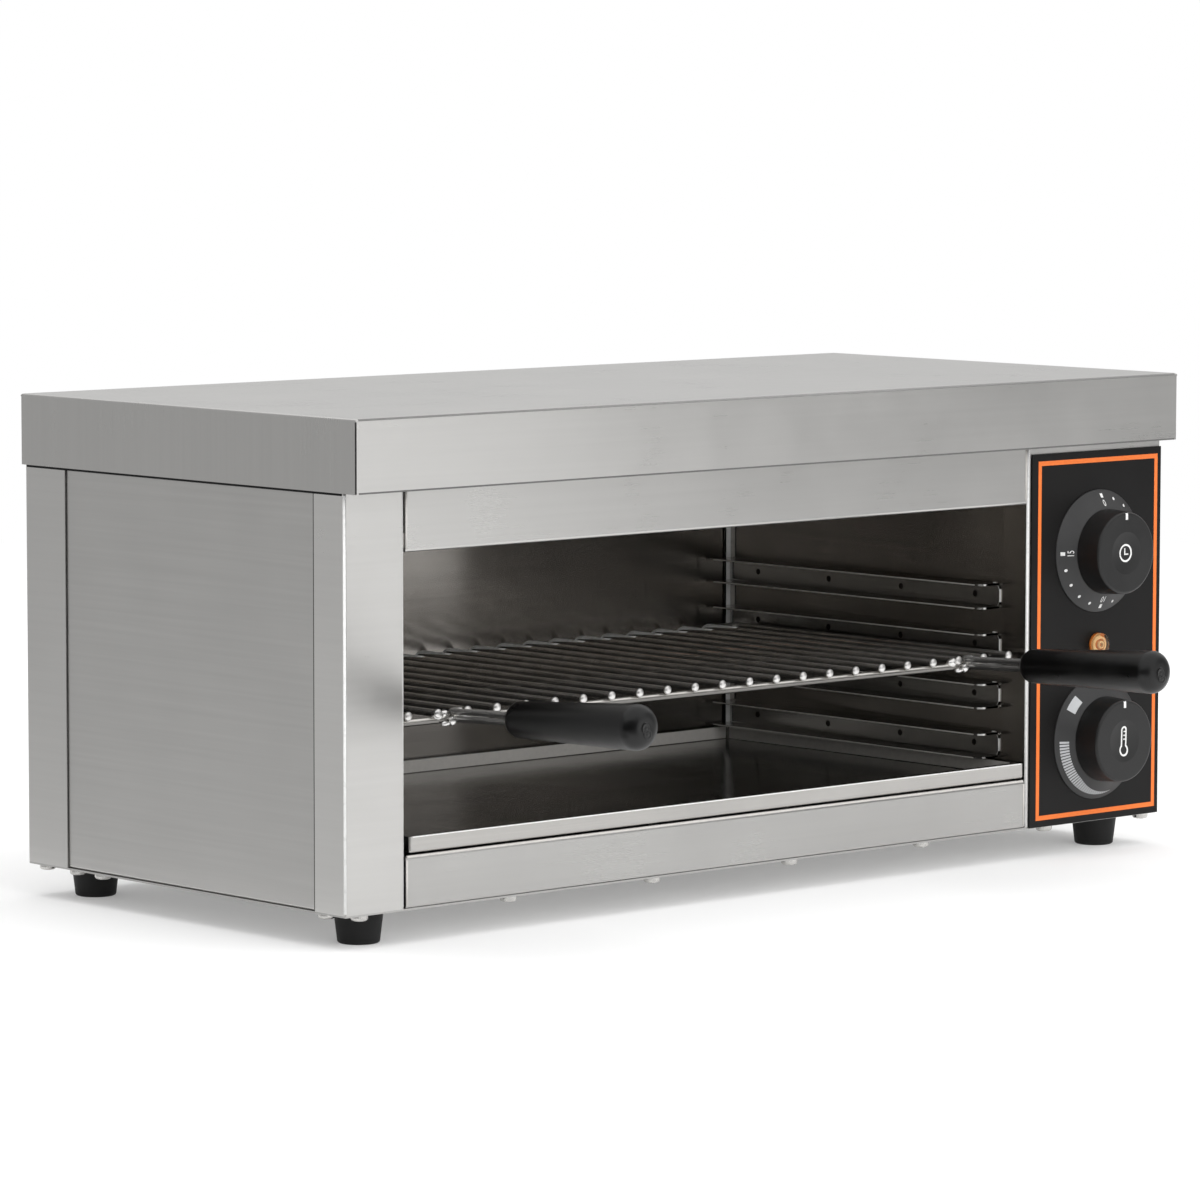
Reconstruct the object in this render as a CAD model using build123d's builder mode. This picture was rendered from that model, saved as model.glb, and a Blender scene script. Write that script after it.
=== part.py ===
from build123d import *
from math import cos, radians, sin
import os

# Countertop salamander grill in folded stainless sheet, with a wire rack on four levels.
# Millimetres. The origin is on the floor under the middle of the whole grill,
# handles and cable gland included. +X is to the right seen from the front, +Y to the back.

os.makedirs("parts", exist_ok=True)

# Cabinet
lid_width = 610.0
lid_depth = 279.2
lid_height = 38.0
lid_side_overhang = 1.5
lid_front_overhang = 11.0
lid_rear_overhang = 1.5
lid_hem = 8.0
lid_corner_slot = 0.9
corner_turn = 45.0
body_height = 215.5
sheet = 1.0
liner = 0.8
bend = 1.5
post_width = 39.5
column_width = 109.5
corner_flange = 24.0
rear_flange = 35.0
return_flange = 18.0
base_flange = 14.0
panel_lap = 8.0
fascia_drop = 32.0
fascia_flange = 14.0
rail_height = 27.5
end_gap = 0.9
base_inset = 0.5

# Feet and screws
foot_height = 17.5
foot_top_radius = 13.0
foot_bottom_radius = 10.9
foot_round = 1.5
foot_inset_x = 28.0
foot_inset_y = 23.0
foot_pocket_radius = 5.5
foot_pocket_depth = 9.0
screw_radius = 2.0
screw_clearance = 0.1
screw_head_radius = 4.5
screw_head_height = 3.4
screw_end = 2.0
screw_inset = 7.0
post_screw_margin = 15.1
rail_screw_count = 4
rail_screw_margin = 76.5
column_left_screw_margin = 22.7
column_right_screw_margin = 6.5
side_front_screw_margin = 8.5
side_rear_screw_margins = (28.7, 6.7)
rear_screw_count = 5
rear_screw_margin = 8.0
lid_screw_count = 3
lid_screw_margin = 65.0
lid_screw_drop = 22.0
nut_radius = 4.0
nut_height = 3.2

# Cooking space
rear_space = 23.5
wall_front_gap = 3.0
wall_rear_flange = 4.0
ledge_height = 29.2
ledge_width = 15.0
ledge_front_gap = 1.0
ceiling_drop = 10.5
ceiling_flange = 12.0
rear_foot_flange = 7.0

# Runners
runner_count = 4
runners_below_count = 2
runner_sheet = 1.0
runner_height = 14.2
runner_depth = 16.0
runner_front_gap = 21.5
runner_rear_gap = 2.5
runner_bottom_height = 39.0
runner_pitch = 28.2
runner_corner = 5.0

# Wire rack and its handles
wire_radius = 2.0
wire_count = 23
rack_side_gap = 8.9
wire_weld = 0.3
wire_front_overhang = 2.6
wire_drop = 10.0
wire_bend = 6.0
front_wire_inset = 9.3
front_wire_reach = 4.0
rear_wire_gap = 1.4
cross_wire_count = 2
rack_clearance = 0.3
rod_radius = 1.75
rod_gap = 0.3
left_rod_offset = 10.2
right_rod_offset = 5.6
rod_bend = 4.0
hook_length = 7.4
weld_gap = 0.1
handle_tilt = 2.5
rod_free_length = 50.0
rod_grip_length = 70.0
rod_clearance = 0.05
grip_length = 99.2
grip_rod_radius = 9.3
grip_end_radius = 11.9
grip_rod_round = 6.0
grip_end_round = 7.0
grip_dimple_radius = 3.0
grip_dimple_depth = 0.8

# Crumb tray
tray_side_gap = 2.75
tray_rear_gap = 3.0
tray_wall_height = 8.4
tray_front_reach = 0.8
tray_sheet = 0.8
tray_lip = 5.0
tray_clearance = 0.3
tray_bend = 1.2

# Heating elements
element_radius = 4.0
element_drop = 13.0
element_margin = 46.0
element_end_gap = 22.0
element_tail = 26.0
hanger_sheet = 1.5
hanger_clearance = 0.15
hanger_margin = 8.0
hanger_inset = 79.0
hanger_flange = 10.0
bush_radius = 7.5
bush_length = 5.0
terminal_radius = 2.0
terminal_length = 12.0

# Control panel and dials
panel_sheet = 0.8
panel_left_margin = 2.6
panel_right_margin = 0.4
panel_top_margin = 4.2
panel_bottom_margin = 0.4
dial_right_margin = 53.0
timer_height_share = 0.7165
thermostat_height_share = 0.2213
bezel_radius = 34.8
bezel_rim = 0.8
bezel_height = 7.0
bezel_hole_radius = 7.0
knob_root_radius = 24.2
knob_face_radius = 23.2
knob_length = 15.0
knob_gap = 0.4
knob_edge = 1.6
knob_wall = 2.5
knob_floor = 4.0
knob_dish_radius = 12.0
knob_dish_depth = 0.9
hub_radius = 6.0
shaft_radius = 3.0
shaft_flat = 0.8
shaft_clearance = 0.05
shaft_engagement = 11.0
shaft_depth = 20.0
bush_boss_radius = 4.6
boss_clearance = 0.3
boss_reach = 3.0
timer_size = 46.0
timer_length = 34.0
thermostat_size = 38.0
thermostat_length = 30.0
control_round = 3.0
lens_radius = 6.6
lens_length = 5.0
lens_round = 1.8
lamp_radius = 4.5
lamp_length = 28.0
lamp_clearance = 0.1

# Thermostat bulb and capillary
bulb_radius = 3.0
bulb_length = 90.0
bulb_drop = 9.0
bulb_rear_gap = 16.0
bulb_side_gap = 70.0
clip_width = 8.0
clip_sheet = 1.0
clip_pitch = 50.0
capillary_radius = 1.0
capillary_bend = 12.0
capillary_hole_radius = 2.0
capillary_behind = 16.0

# Supply connection and vents
gland_reach = 14.0
gland_height = 45.0
gland_bore_radius = 4.5
gland_barrel_radius = 8.0
gland_collar_radius = 11.0
gland_collar_length = 4.0
gland_cap_radius = 10.0
gland_barrel_length = 14.0
gland_nut_radius = 11.5
gland_nut_height = 5.0
gland_round = 2.0
block_width = 52.0
block_depth = 22.0
block_height = 18.0
block_ways = 3
block_way_radius = 4.0
block_way_depth = 12.0
block_rear_gap = 60.0
vent_count = 8
vent_pitch = 9.0
vent_length = 60.0
vent_width = 3.0
vent_drop = 65.5

# Planes that the pieces share
side_x = lid_width / 2 - lid_side_overhang
body_depth = lid_depth - lid_front_overhang - lid_rear_overhang
base_z = foot_height
wall_z = base_z + sheet
lid_z = base_z + body_height
lid_top_z = lid_z + lid_height
wall_top_z = lid_top_z - sheet
wall_height = wall_top_z - wall_z

tilt_cos = cos(radians(handle_tilt))
tilt_sin = sin(radians(handle_tilt))
handle_length = rod_free_length + grip_length
grip_reach = (
    (handle_length - grip_end_round) * tilt_cos
    + (grip_end_radius - grip_end_round) * tilt_sin
    + grip_end_round
    - front_wire_inset
)
overall_depth = grip_reach + body_depth + gland_reach
front_y = grip_reach - overall_depth / 2
rear_y = front_y + body_depth
lid_front_y = front_y - lid_front_overhang
lid_rear_y = rear_y + lid_rear_overhang

opening_left_x = post_width - side_x
opening_right_x = side_x - column_width
opening_width = opening_right_x - opening_left_x
opening_mid_x = (opening_left_x + opening_right_x) / 2
cavity_left_x = opening_left_x - sheet
cavity_right_x = opening_right_x + sheet
cavity_half = (cavity_right_x - cavity_left_x) / 2
cavity_rear_y = rear_y - rear_space
ledge_z = base_z + ledge_height
ceiling_z = lid_z - ceiling_drop
fascia_z = lid_z - fascia_drop
rail_top_z = base_z + rail_height
seam_front_y = front_y + corner_flange
seam_rear_y = rear_y - rear_flange

low_left = (Align.MIN, Align.MIN)
low_middle = (Align.CENTER, Align.MIN)
high_middle = (Align.CENTER, Align.MAX)


def spread(start, end, margin, count):
    """Evenly spaced places from start to end, with the first and last a margin inside."""
    pitch = (end - start - 2 * margin) / (count - 1)
    return [start + margin + index * pitch for index in range(count)]


# Places of the screws that hold the base, in plan
front_screw_y = front_y + screw_inset
rear_screw_y = rear_y - screw_inset
side_screw_x = side_x - sheet - screw_inset
body_mid_y = (front_y + rear_y) / 2
post_screws = [(post_screw_margin - side_x, front_screw_y)]
rail_screw_xs = spread(opening_left_x, opening_right_x, rail_screw_margin, rail_screw_count)
rail_screws = [(x, front_screw_y) for x in rail_screw_xs]
column_screws = [
    (opening_right_x + column_left_screw_margin, front_screw_y),
    (side_x - column_right_screw_margin, front_screw_y),
]
side_screw_ys = [seam_front_y - panel_lap + side_front_screw_margin]
side_screw_ys += [seam_rear_y + panel_lap - margin for margin in side_rear_screw_margins]
left_screws = [(-side_screw_x, y) for y in side_screw_ys]
right_screws = [(side_screw_x, y) for y in side_screw_ys]
rear_screws = [(x, rear_screw_y) for x in spread(-side_x, side_x, rear_screw_margin, rear_screw_count)]
all_base_screws = post_screws + rail_screws + column_screws + left_screws + right_screws + rear_screws
foot_places = {
    "foot_front_left": (foot_inset_x - side_x, front_y + foot_inset_y),
    "foot_front_right": (side_x - foot_inset_x, front_y + foot_inset_y),
    "foot_rear_left": (foot_inset_x - side_x, rear_y - foot_inset_y),
    "foot_rear_right": (side_x - foot_inset_x, rear_y - foot_inset_y),
}
lid_screw_z = lid_top_z - lid_screw_drop
lid_screw_xs = spread(-lid_width / 2, lid_width / 2, lid_screw_margin, lid_screw_count)
screw_hole_radius = screw_radius + screw_clearance

# Places of the controls on the front of the column
dial_x = side_x - dial_right_margin
timer_z = base_z + timer_height_share * body_height
thermostat_z = base_z + thermostat_height_share * body_height
lamp_z = (timer_z + thermostat_z) / 2
panel_front_y = front_y - panel_sheet
column_back_y = front_y + sheet
boss_hole_radius = bush_boss_radius + boss_clearance
lamp_hole_radius = lamp_radius + lamp_clearance

# Places of the heating elements and of the cable gland
element_z = ceiling_z - element_drop
element_left_x = cavity_left_x + element_end_gap
element_right_x = cavity_right_x + element_tail
element_leg_ys = spread(front_y, cavity_rear_y, element_margin, 4)
element_pairs = {"front": element_leg_ys[:2], "rear": element_leg_ys[2:]}
gland_z = base_z + gland_height
bulb_y = cavity_rear_y - bulb_rear_gap
bulb_z = ceiling_z - bulb_drop
bulb_right_x = cavity_right_x - bulb_side_gap


# Top cover: a folded pan with open corner seams and a hem under its front edge
with BuildPart() as top_cover:
    with BuildSketch(Plane.XY.offset(lid_z)):
        with Locations((0, lid_front_y)):
            Rectangle(lid_width, lid_depth, align=low_middle)
    extrude(amount=lid_height)
    fillet(top_cover.edges().group_by(Axis.Z)[-1], radius=bend)
    offset(amount=-sheet, openings=top_cover.faces().sort_by(Axis.Z)[0])
    with BuildSketch(Plane.XY.offset(lid_z)):
        with Locations((0, lid_front_y)):
            Rectangle(lid_width - 2 * bend, lid_hem, align=low_middle)
    extrude(amount=sheet)
    with BuildSketch(Plane.XY.offset(lid_z)):
        for corner_x, corner_y, turn in (
            (-lid_width / 2, lid_front_y, corner_turn),
            (lid_width / 2, lid_front_y, -corner_turn),
            (-lid_width / 2, lid_rear_y, -corner_turn),
            (lid_width / 2, lid_rear_y, corner_turn),
        ):
            with Locations((corner_x, corner_y)):
                Rectangle(2 * bend, lid_corner_slot, rotation=turn)
    extrude(amount=lid_height - bend, mode=Mode.SUBTRACT)
    with BuildSketch(Plane.XZ.offset(-lid_rear_y)):
        with Locations([(x, lid_screw_z) for x in lid_screw_xs]):
            Circle(screw_hole_radius)
    extrude(amount=sheet, mode=Mode.SUBTRACT)
top_cover.part.label = "top_cover"
export_step(top_cover.part, "parts/top_cover.step")

# Front left post: a corner folded from one sheet, with a return into the opening
with BuildPart() as front_left_post:
    with BuildSketch(Plane.XY.offset(wall_z)):
        with BuildLine():
            FilletPolyline(
                (-side_x, seam_front_y),
                (-side_x, front_y),
                (opening_left_x, front_y),
                (opening_left_x, front_y + return_flange),
                radius=bend,
            )
            offset(amount=sheet, side=Side.LEFT)
        make_face()
    extrude(amount=wall_height)
    with BuildSketch(Plane.XY.offset(wall_z)):
        with Locations((sheet - side_x, column_back_y)):
            Rectangle(post_width - 2 * sheet, base_flange, align=low_left)
    extrude(amount=sheet)
    with Locations([(x, y, wall_z + sheet) for x, y in post_screws]):
        Hole(screw_hole_radius)
front_left_post.part.label = "front_left_post"
export_step(front_left_post.part, "parts/front_left_post.step")

# Control column: the matching fold at the right, drilled for the controls
with BuildPart() as control_column:
    with BuildSketch(Plane.XY.offset(wall_z)):
        with BuildLine():
            FilletPolyline(
                (opening_right_x, front_y + return_flange),
                (opening_right_x, front_y),
                (side_x, front_y),
                (side_x, seam_front_y),
                radius=bend,
            )
            offset(amount=sheet, side=Side.LEFT)
        make_face()
    extrude(amount=wall_height)
    with BuildSketch(Plane.XY.offset(wall_z)):
        with Locations((opening_right_x + sheet, column_back_y)):
            Rectangle(column_width - 2 * sheet, base_flange, align=low_left)
    extrude(amount=sheet)
    with Locations([(x, y, wall_z + sheet) for x, y in column_screws]):
        Hole(screw_hole_radius)
    with BuildSketch(Plane.XZ.offset(-column_back_y)):
        with Locations((dial_x, timer_z), (dial_x, thermostat_z)):
            Circle(boss_hole_radius)
        with Locations((dial_x, lamp_z)):
            Circle(lamp_hole_radius)
    extrude(amount=sheet, mode=Mode.SUBTRACT)
control_column.part.label = "control_column"
export_step(control_column.part, "parts/control_column.step")

# Control panel: the black plate on the front of the column
with BuildPart() as control_panel:
    panel_left_x = opening_right_x + panel_left_margin
    panel_right_x = side_x - panel_right_margin
    panel_bottom_z = base_z + panel_bottom_margin
    panel_top_z = lid_z - panel_top_margin
    with BuildSketch(Plane.XZ.offset(-front_y)):
        with Locations((panel_left_x, panel_bottom_z)):
            Rectangle(panel_right_x - panel_left_x, panel_top_z - panel_bottom_z, align=low_left)
        with Locations((dial_x, timer_z), (dial_x, thermostat_z)):
            Circle(boss_hole_radius, mode=Mode.SUBTRACT)
        with Locations((dial_x, lamp_z)):
            Circle(lamp_hole_radius, mode=Mode.SUBTRACT)
    extrude(amount=panel_sheet)
control_panel.part.label = "control_panel"
export_step(control_panel.part, "parts/control_panel.step")

# Upper fascia: front sheet above the opening, folded back along its lower edge
with BuildPart() as upper_fascia:
    with BuildSketch(Plane.YZ.offset(opening_left_x + end_gap)):
        with BuildLine():
            FilletPolyline(
                (front_y, wall_top_z),
                (front_y, fascia_z),
                (front_y + fascia_flange, fascia_z),
                radius=bend,
            )
            offset(amount=sheet, side=Side.LEFT)
        make_face()
    extrude(amount=opening_width - 2 * end_gap)
upper_fascia.part.label = "upper_fascia"
export_step(upper_fascia.part, "parts/upper_fascia.step")

# Lower rail: a channel below the opening, open to the inside
with BuildPart() as lower_rail:
    with BuildSketch(Plane.YZ.offset(opening_left_x + end_gap)):
        with BuildLine():
            FilletPolyline(
                (front_y + base_flange, rail_top_z),
                (front_y, rail_top_z),
                (front_y, wall_z),
                (front_y + base_flange, wall_z),
                radius=bend,
            )
            offset(amount=sheet, side=Side.LEFT)
        make_face()
    extrude(amount=opening_width - 2 * end_gap)
    with Locations([(x, y, wall_z + sheet) for x, y in rail_screws]):
        Hole(screw_hole_radius)
lower_rail.part.label = "lower_rail"
export_step(lower_rail.part, "parts/lower_rail.step")

# Side panels: flat sheets with an inward base flange, lapped behind the corner flanges
for name, outward, screws in (("left_side_panel", -1, left_screws), ("right_side_panel", 1, right_screws)):
    face_x = outward * (side_x - sheet)
    with BuildPart() as side_panel:
        with BuildSketch(Plane.XZ.offset(-seam_rear_y - panel_lap)):
            with BuildLine():
                FilletPolyline(
                    (face_x, wall_top_z),
                    (face_x, wall_z),
                    (face_x - outward * base_flange, wall_z),
                    radius=bend,
                )
                offset(amount=sheet, side=Side.LEFT if outward < 0 else Side.RIGHT)
            make_face()
        extrude(amount=seam_rear_y - seam_front_y + 2 * panel_lap)
        with Locations([(x, y, wall_z + sheet) for x, y in screws]):
            Hole(screw_hole_radius)
    side_panel.part.label = name
    export_step(side_panel.part, f"parts/{name}.step")

# Rear cover: back sheet that wraps both sides, with vents and the gland hole behind the controls
with BuildPart() as rear_cover:
    with BuildSketch(Plane.XY.offset(wall_z)):
        with BuildLine():
            FilletPolyline(
                (side_x, seam_rear_y),
                (side_x, rear_y),
                (-side_x, rear_y),
                (-side_x, seam_rear_y),
                radius=bend,
            )
            offset(amount=sheet, side=Side.LEFT)
        make_face()
    extrude(amount=wall_height)
    with BuildSketch(Plane.XY.offset(wall_z)):
        with Locations((0, rear_y - sheet)):
            Rectangle(2 * (side_x - sheet), base_flange, align=high_middle)
    extrude(amount=sheet)
    with Locations([(x, y, wall_z + sheet) for x, y in rear_screws]):
        Hole(screw_hole_radius)
    with BuildSketch(Plane.XZ.offset(-rear_y)):
        with Locations((dial_x, lid_z - vent_drop)):
            with GridLocations(0, vent_pitch, 1, vent_count):
                SlotOverall(vent_length, vent_width)
        with Locations((dial_x, gland_z)):
            Circle(gland_barrel_radius + screw_clearance)
        with Locations([(x, lid_screw_z) for x in lid_screw_xs]):
            Circle(screw_hole_radius)
    extrude(amount=sheet, mode=Mode.SUBTRACT)
rear_cover.part.label = "rear_cover"
export_step(rear_cover.part, "parts/rear_cover.step")

# Base plate: flat sheet under the flanges, drilled for its screws and the feet
with BuildPart() as base_plate:
    with BuildSketch(Plane.XY.offset(base_z)):
        with Locations((0, body_mid_y)):
            Rectangle(2 * (side_x - base_inset), body_depth - 2 * base_inset)
        with Locations(all_base_screws + list(foot_places.values())):
            Circle(screw_hole_radius, mode=Mode.SUBTRACT)
    extrude(amount=sheet)
base_plate.part.label = "base_plate"
export_step(base_plate.part, "parts/base_plate.step")

# Cavity side walls: liner sheets with a rear flange and a ledge that carries the tray
for name, wall_x, inward in (
    ("cavity_left_wall", cavity_left_x, 1),
    ("cavity_right_wall", cavity_right_x, -1),
):
    with BuildPart() as cavity_wall:
        with BuildSketch(Plane.XY.offset(ledge_z - liner)):
            with BuildLine():
                FilletPolyline(
                    (wall_x, column_back_y + wall_front_gap),
                    (wall_x, cavity_rear_y - liner),
                    (wall_x + inward * wall_rear_flange, cavity_rear_y - liner),
                    radius=liner,
                )
                offset(amount=liner, side=Side.LEFT if inward > 0 else Side.RIGHT)
            make_face()
        extrude(amount=ceiling_z + ceiling_flange - ledge_z + liner)
        ledge_start_y = front_y + return_flange + ledge_front_gap
        with BuildSketch(Plane.XY.offset(ledge_z - liner)):
            with Locations((wall_x + inward * ledge_width / 2, ledge_start_y)):
                Rectangle(ledge_width, cavity_rear_y - liner - ledge_start_y, align=low_middle)
        extrude(amount=liner)
        if inward < 0:
            with BuildSketch(Plane.YZ.offset(wall_x)):
                with Locations([(y, element_z) for y in element_leg_ys]):
                    Circle(element_radius + hanger_clearance)
                with Locations((bulb_y, bulb_z)):
                    Circle(capillary_hole_radius)
            extrude(amount=liner, mode=Mode.SUBTRACT)
    cavity_wall.part.label = name
    export_step(cavity_wall.part, f"parts/{name}.step")

# Cavity rear wall: stands on the base plate by a flange turned to the back
with BuildPart() as cavity_rear_wall:
    with BuildSketch(Plane.YZ.offset(cavity_left_x)):
        with BuildLine():
            FilletPolyline(
                (cavity_rear_y, ceiling_z + ceiling_flange),
                (cavity_rear_y, wall_z),
                (cavity_rear_y + rear_foot_flange, wall_z),
                radius=bend,
            )
            offset(amount=liner, side=Side.LEFT)
        make_face()
    extrude(amount=2 * cavity_half)
cavity_rear_wall.part.label = "cavity_rear_wall"
export_step(cavity_rear_wall.part, "parts/cavity_rear_wall.step")

# Cavity ceiling: a shallow pan with its flanges turned up
with BuildPart() as cavity_ceiling:
    ceiling_depth = cavity_rear_y - liner - column_back_y
    with BuildSketch(Plane.XY.offset(ceiling_z)):
        with Locations((opening_mid_x, column_back_y)):
            Rectangle(opening_width, ceiling_depth, align=low_middle)
    extrude(amount=ceiling_flange)
    offset(amount=-liner, openings=cavity_ceiling.faces().sort_by(Axis.Z)[-1])
cavity_ceiling.part.label = "cavity_ceiling"
export_step(cavity_ceiling.part, "parts/cavity_ceiling.step")

# Runners: channels on the cavity walls, open to the cavity, with rounded front corners
runner_front_y = front_y + runner_front_gap
runner_rear_y = cavity_rear_y - runner_rear_gap
for side_name, wall_x, inward in (("left", cavity_left_x, 1), ("right", cavity_right_x, -1)):
    for level in range(runner_count):
        runner_z = base_z + runner_bottom_height + level * runner_pitch
        with BuildPart() as runner:
            with BuildSketch(Plane.XZ.offset(-runner_rear_y)):
                with BuildLine():
                    FilletPolyline(
                        (wall_x + inward * runner_depth, runner_z + runner_height),
                        (wall_x, runner_z + runner_height),
                        (wall_x, runner_z),
                        (wall_x + inward * runner_depth, runner_z),
                        radius=bend,
                    )
                    offset(amount=runner_sheet, side=Side.LEFT if inward > 0 else Side.RIGHT)
                make_face()
            extrude(amount=runner_rear_y - runner_front_y)
            tip_x = wall_x + inward * runner_depth
            tip_edges = runner.edges().filter_by(Axis.Z).filter_by_position(
                Axis.Y, runner_front_y - runner_sheet, runner_front_y + runner_sheet
            )
            fillet(
                tip_edges.filter_by_position(Axis.X, tip_x - runner_sheet, tip_x + runner_sheet),
                radius=runner_corner,
            )
        runner.part.label = f"{side_name}_runner_{level + 1}"
        export_step(runner.part, f"parts/{side_name}_runner_{level + 1}.step")

# Wire rack: a grid of wires bent down at the back, welded to a front wire, cross wires and a rear wire.
# The two outer wires turn inwards at the back and meet the wires beside them.
runner_floor_z = base_z + runner_bottom_height + runners_below_count * runner_pitch + runner_sheet
wire_z = runner_floor_z + rack_clearance + wire_radius
low_wire_z = wire_z - 2 * wire_radius + wire_weld
front_wire_y = front_y + front_wire_inset
wire_front_y = front_wire_y - wire_front_overhang
rear_wire_y = cavity_rear_y - liner - rear_wire_gap - wire_radius
rear_wire_z = wire_z - wire_drop + wire_radius
leg_y = rear_wire_y - 2 * wire_radius + wire_weld
turn_y = leg_y - wire_bend - wire_radius
grid_half = cavity_half - rack_side_gap
grid_left_x = opening_mid_x - grid_half
wire_pitch = 2 * grid_half / (wire_count - 1)
cross_wire_ys = spread(front_wire_y, rear_wire_y, 0, cross_wire_count + 2)[1:-1]

with BuildPart() as bent_wire:
    with BuildLine(Plane.YZ):
        FilletPolyline(
            (wire_front_y, wire_z),
            (leg_y, wire_z),
            (leg_y, wire_z - wire_drop),
            radius=wire_bend,
        )
    with BuildSketch(Plane.XZ.offset(-wire_front_y)):
        with Locations((0, wire_z)):
            Circle(wire_radius)
    sweep()

with BuildPart() as outer_wires:
    with BuildLine(Plane.XY.offset(wire_z)):
        FilletPolyline(
            (-grid_half, wire_front_y),
            (-grid_half, turn_y),
            (wire_pitch - grid_half, turn_y),
            radius=wire_bend,
        )
    with BuildSketch(Plane.XZ.offset(-wire_front_y)):
        with Locations((-grid_half, wire_z)):
            Circle(wire_radius)
    sweep()
    mirror(about=Plane.YZ)

with BuildPart() as wire_rack:
    with Locations((opening_mid_x, 0, 0)):
        add(outer_wires.part)
        with GridLocations(wire_pitch, 0, wire_count - 2, 1):
            add(bent_wire.part)
    with BuildSketch(Plane.YZ.offset(grid_left_x - front_wire_reach)):
        with Locations((front_wire_y, low_wire_z)):
            Circle(wire_radius)
    extrude(amount=2 * (grid_half + front_wire_reach))
    with BuildSketch(Plane.YZ.offset(grid_left_x + wire_pitch - wire_radius)):
        with Locations([(y, low_wire_z) for y in cross_wire_ys]):
            Circle(wire_radius)
        with Locations((rear_wire_y, rear_wire_z)):
            Circle(wire_radius)
    extrude(amount=2 * (grid_half - wire_pitch + wire_radius))
wire_rack.part.label = "wire_rack"
export_step(wire_rack.part, "parts/wire_rack.step")

# Rack handles: two stacked rods hooked on the front wire, and a moulded grip, tilted up a little
rod_spacing = 2 * rod_radius + rod_gap
upper_rod_z = low_wire_z + wire_radius + weld_gap + rod_radius
lower_rod_z = upper_rod_z - rod_spacing
lower_hook_y = front_wire_y - wire_radius - weld_gap - rod_radius
handle_z = (upper_rod_z + lower_rod_z) / 2
left_handle_x = grid_left_x + wire_pitch + left_rod_offset
right_handle_x = grid_left_x + (wire_count - 3) * wire_pitch + right_rod_offset
rod_end_y = front_wire_y - (rod_free_length + rod_grip_length) * tilt_cos


def tilted_z(start_z, y):
    """Height at y of a line that rises towards the front from start_z over the front wire."""
    return start_z + (front_wire_y - y) * tilt_sin / tilt_cos


for side_name, handle_x in (("left", left_handle_x), ("right", right_handle_x)):
    with BuildPart() as handle_rods:
        for rod_z, hook_y in ((upper_rod_z, front_wire_y), (lower_rod_z, lower_hook_y)):
            hook_z = tilted_z(rod_z, hook_y)
            with BuildLine():
                FilletPolyline(
                    (handle_x + hook_length, hook_y, hook_z),
                    (handle_x, hook_y, hook_z),
                    (handle_x, rod_end_y, tilted_z(rod_z, rod_end_y)),
                    radius=rod_bend,
                )
            with BuildSketch(Plane.YZ.offset(handle_x + hook_length)):
                with Locations((hook_y, hook_z)):
                    Circle(rod_radius)
            sweep()
    handle_rods.part.label = f"{side_name}_handle_rods"
    export_step(handle_rods.part, f"parts/{side_name}_handle_rods.step")

    grip_start = Vector(
        handle_x,
        front_wire_y - rod_free_length * tilt_cos,
        handle_z + rod_free_length * tilt_sin,
    )
    grip_axis = Vector(0, -tilt_cos, tilt_sin)
    with BuildPart() as grip:
        with BuildSketch(Plane(grip_start, x_dir=(0, tilt_sin, tilt_cos), z_dir=(1, 0, 0))) as outline:
            with BuildLine():
                Polyline(
                    (0, 0),
                    (grip_rod_radius, 0),
                    (grip_end_radius, grip_length),
                    (grip_dimple_radius, grip_length),
                    (0, grip_length - grip_dimple_depth),
                    close=True,
                )
            make_face()
            fillet(outline.vertices().sort_by(Axis.X)[-2], radius=grip_rod_round)
            fillet(outline.vertices().sort_by(Axis.X)[-1], radius=grip_end_round)
        revolve(axis=Axis(grip_start, grip_axis))
        with BuildSketch(Plane(grip_start, x_dir=(1, 0, 0), z_dir=grip_axis)):
            with GridLocations(0, rod_spacing * tilt_cos, 1, 2):
                Circle(rod_radius + rod_clearance)
        extrude(amount=rod_grip_length + rod_gap, mode=Mode.SUBTRACT)
    grip.part.label = f"{side_name}_grip"
    export_step(grip.part, f"parts/{side_name}_grip.step")

# Crumb tray: a shallow pan with its front edge folded back
with BuildPart() as crumb_tray:
    tray_z = ledge_z + tray_clearance
    tray_front_y = front_y - tray_front_reach
    tray_width = opening_width - 2 * tray_side_gap
    tray_depth = cavity_rear_y - tray_rear_gap - tray_front_y
    with BuildSketch(Plane.XY.offset(tray_z)):
        with Locations((opening_mid_x, tray_front_y)):
            Rectangle(tray_width, tray_depth, align=low_middle)
    extrude(amount=tray_wall_height)
    fillet(crumb_tray.edges().filter_by(Axis.Z), radius=tray_bend)
    fillet(crumb_tray.edges().group_by(Axis.Z)[0], radius=tray_bend)
    offset(amount=-tray_sheet, openings=crumb_tray.faces().sort_by(Axis.Z)[-1])
    with BuildSketch(Plane.XY.offset(tray_z + tray_wall_height - tray_sheet)):
        with Locations((opening_mid_x, tray_front_y)):
            Rectangle(tray_width - 2 * tray_bend, tray_lip, align=low_middle)
    extrude(amount=tray_sheet)
crumb_tray.part.label = "crumb_tray"
export_step(crumb_tray.part, "parts/crumb_tray.step")

# Heating elements: two hairpin tubes under the ceiling, with their ends in the control space
for name, (near_y, far_y) in element_pairs.items():
    turn_x = element_left_x + element_radius + (far_y - near_y) / 2
    with BuildPart() as heating_element:
        with BuildLine(Plane.XY.offset(element_z)):
            near_leg = Line((element_right_x, near_y), (turn_x, near_y))
            turn = TangentArc(near_leg @ 1, (turn_x, far_y), tangent=near_leg % 1)
            Line(turn @ 1, (element_right_x, far_y))
        with BuildSketch(Plane.YZ.offset(element_right_x)):
            with Locations((near_y, element_z)):
                Circle(element_radius)
        sweep()
    heating_element.part.label = f"heating_element_{name}"
    export_step(heating_element.part, f"parts/heating_element_{name}.step")

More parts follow.
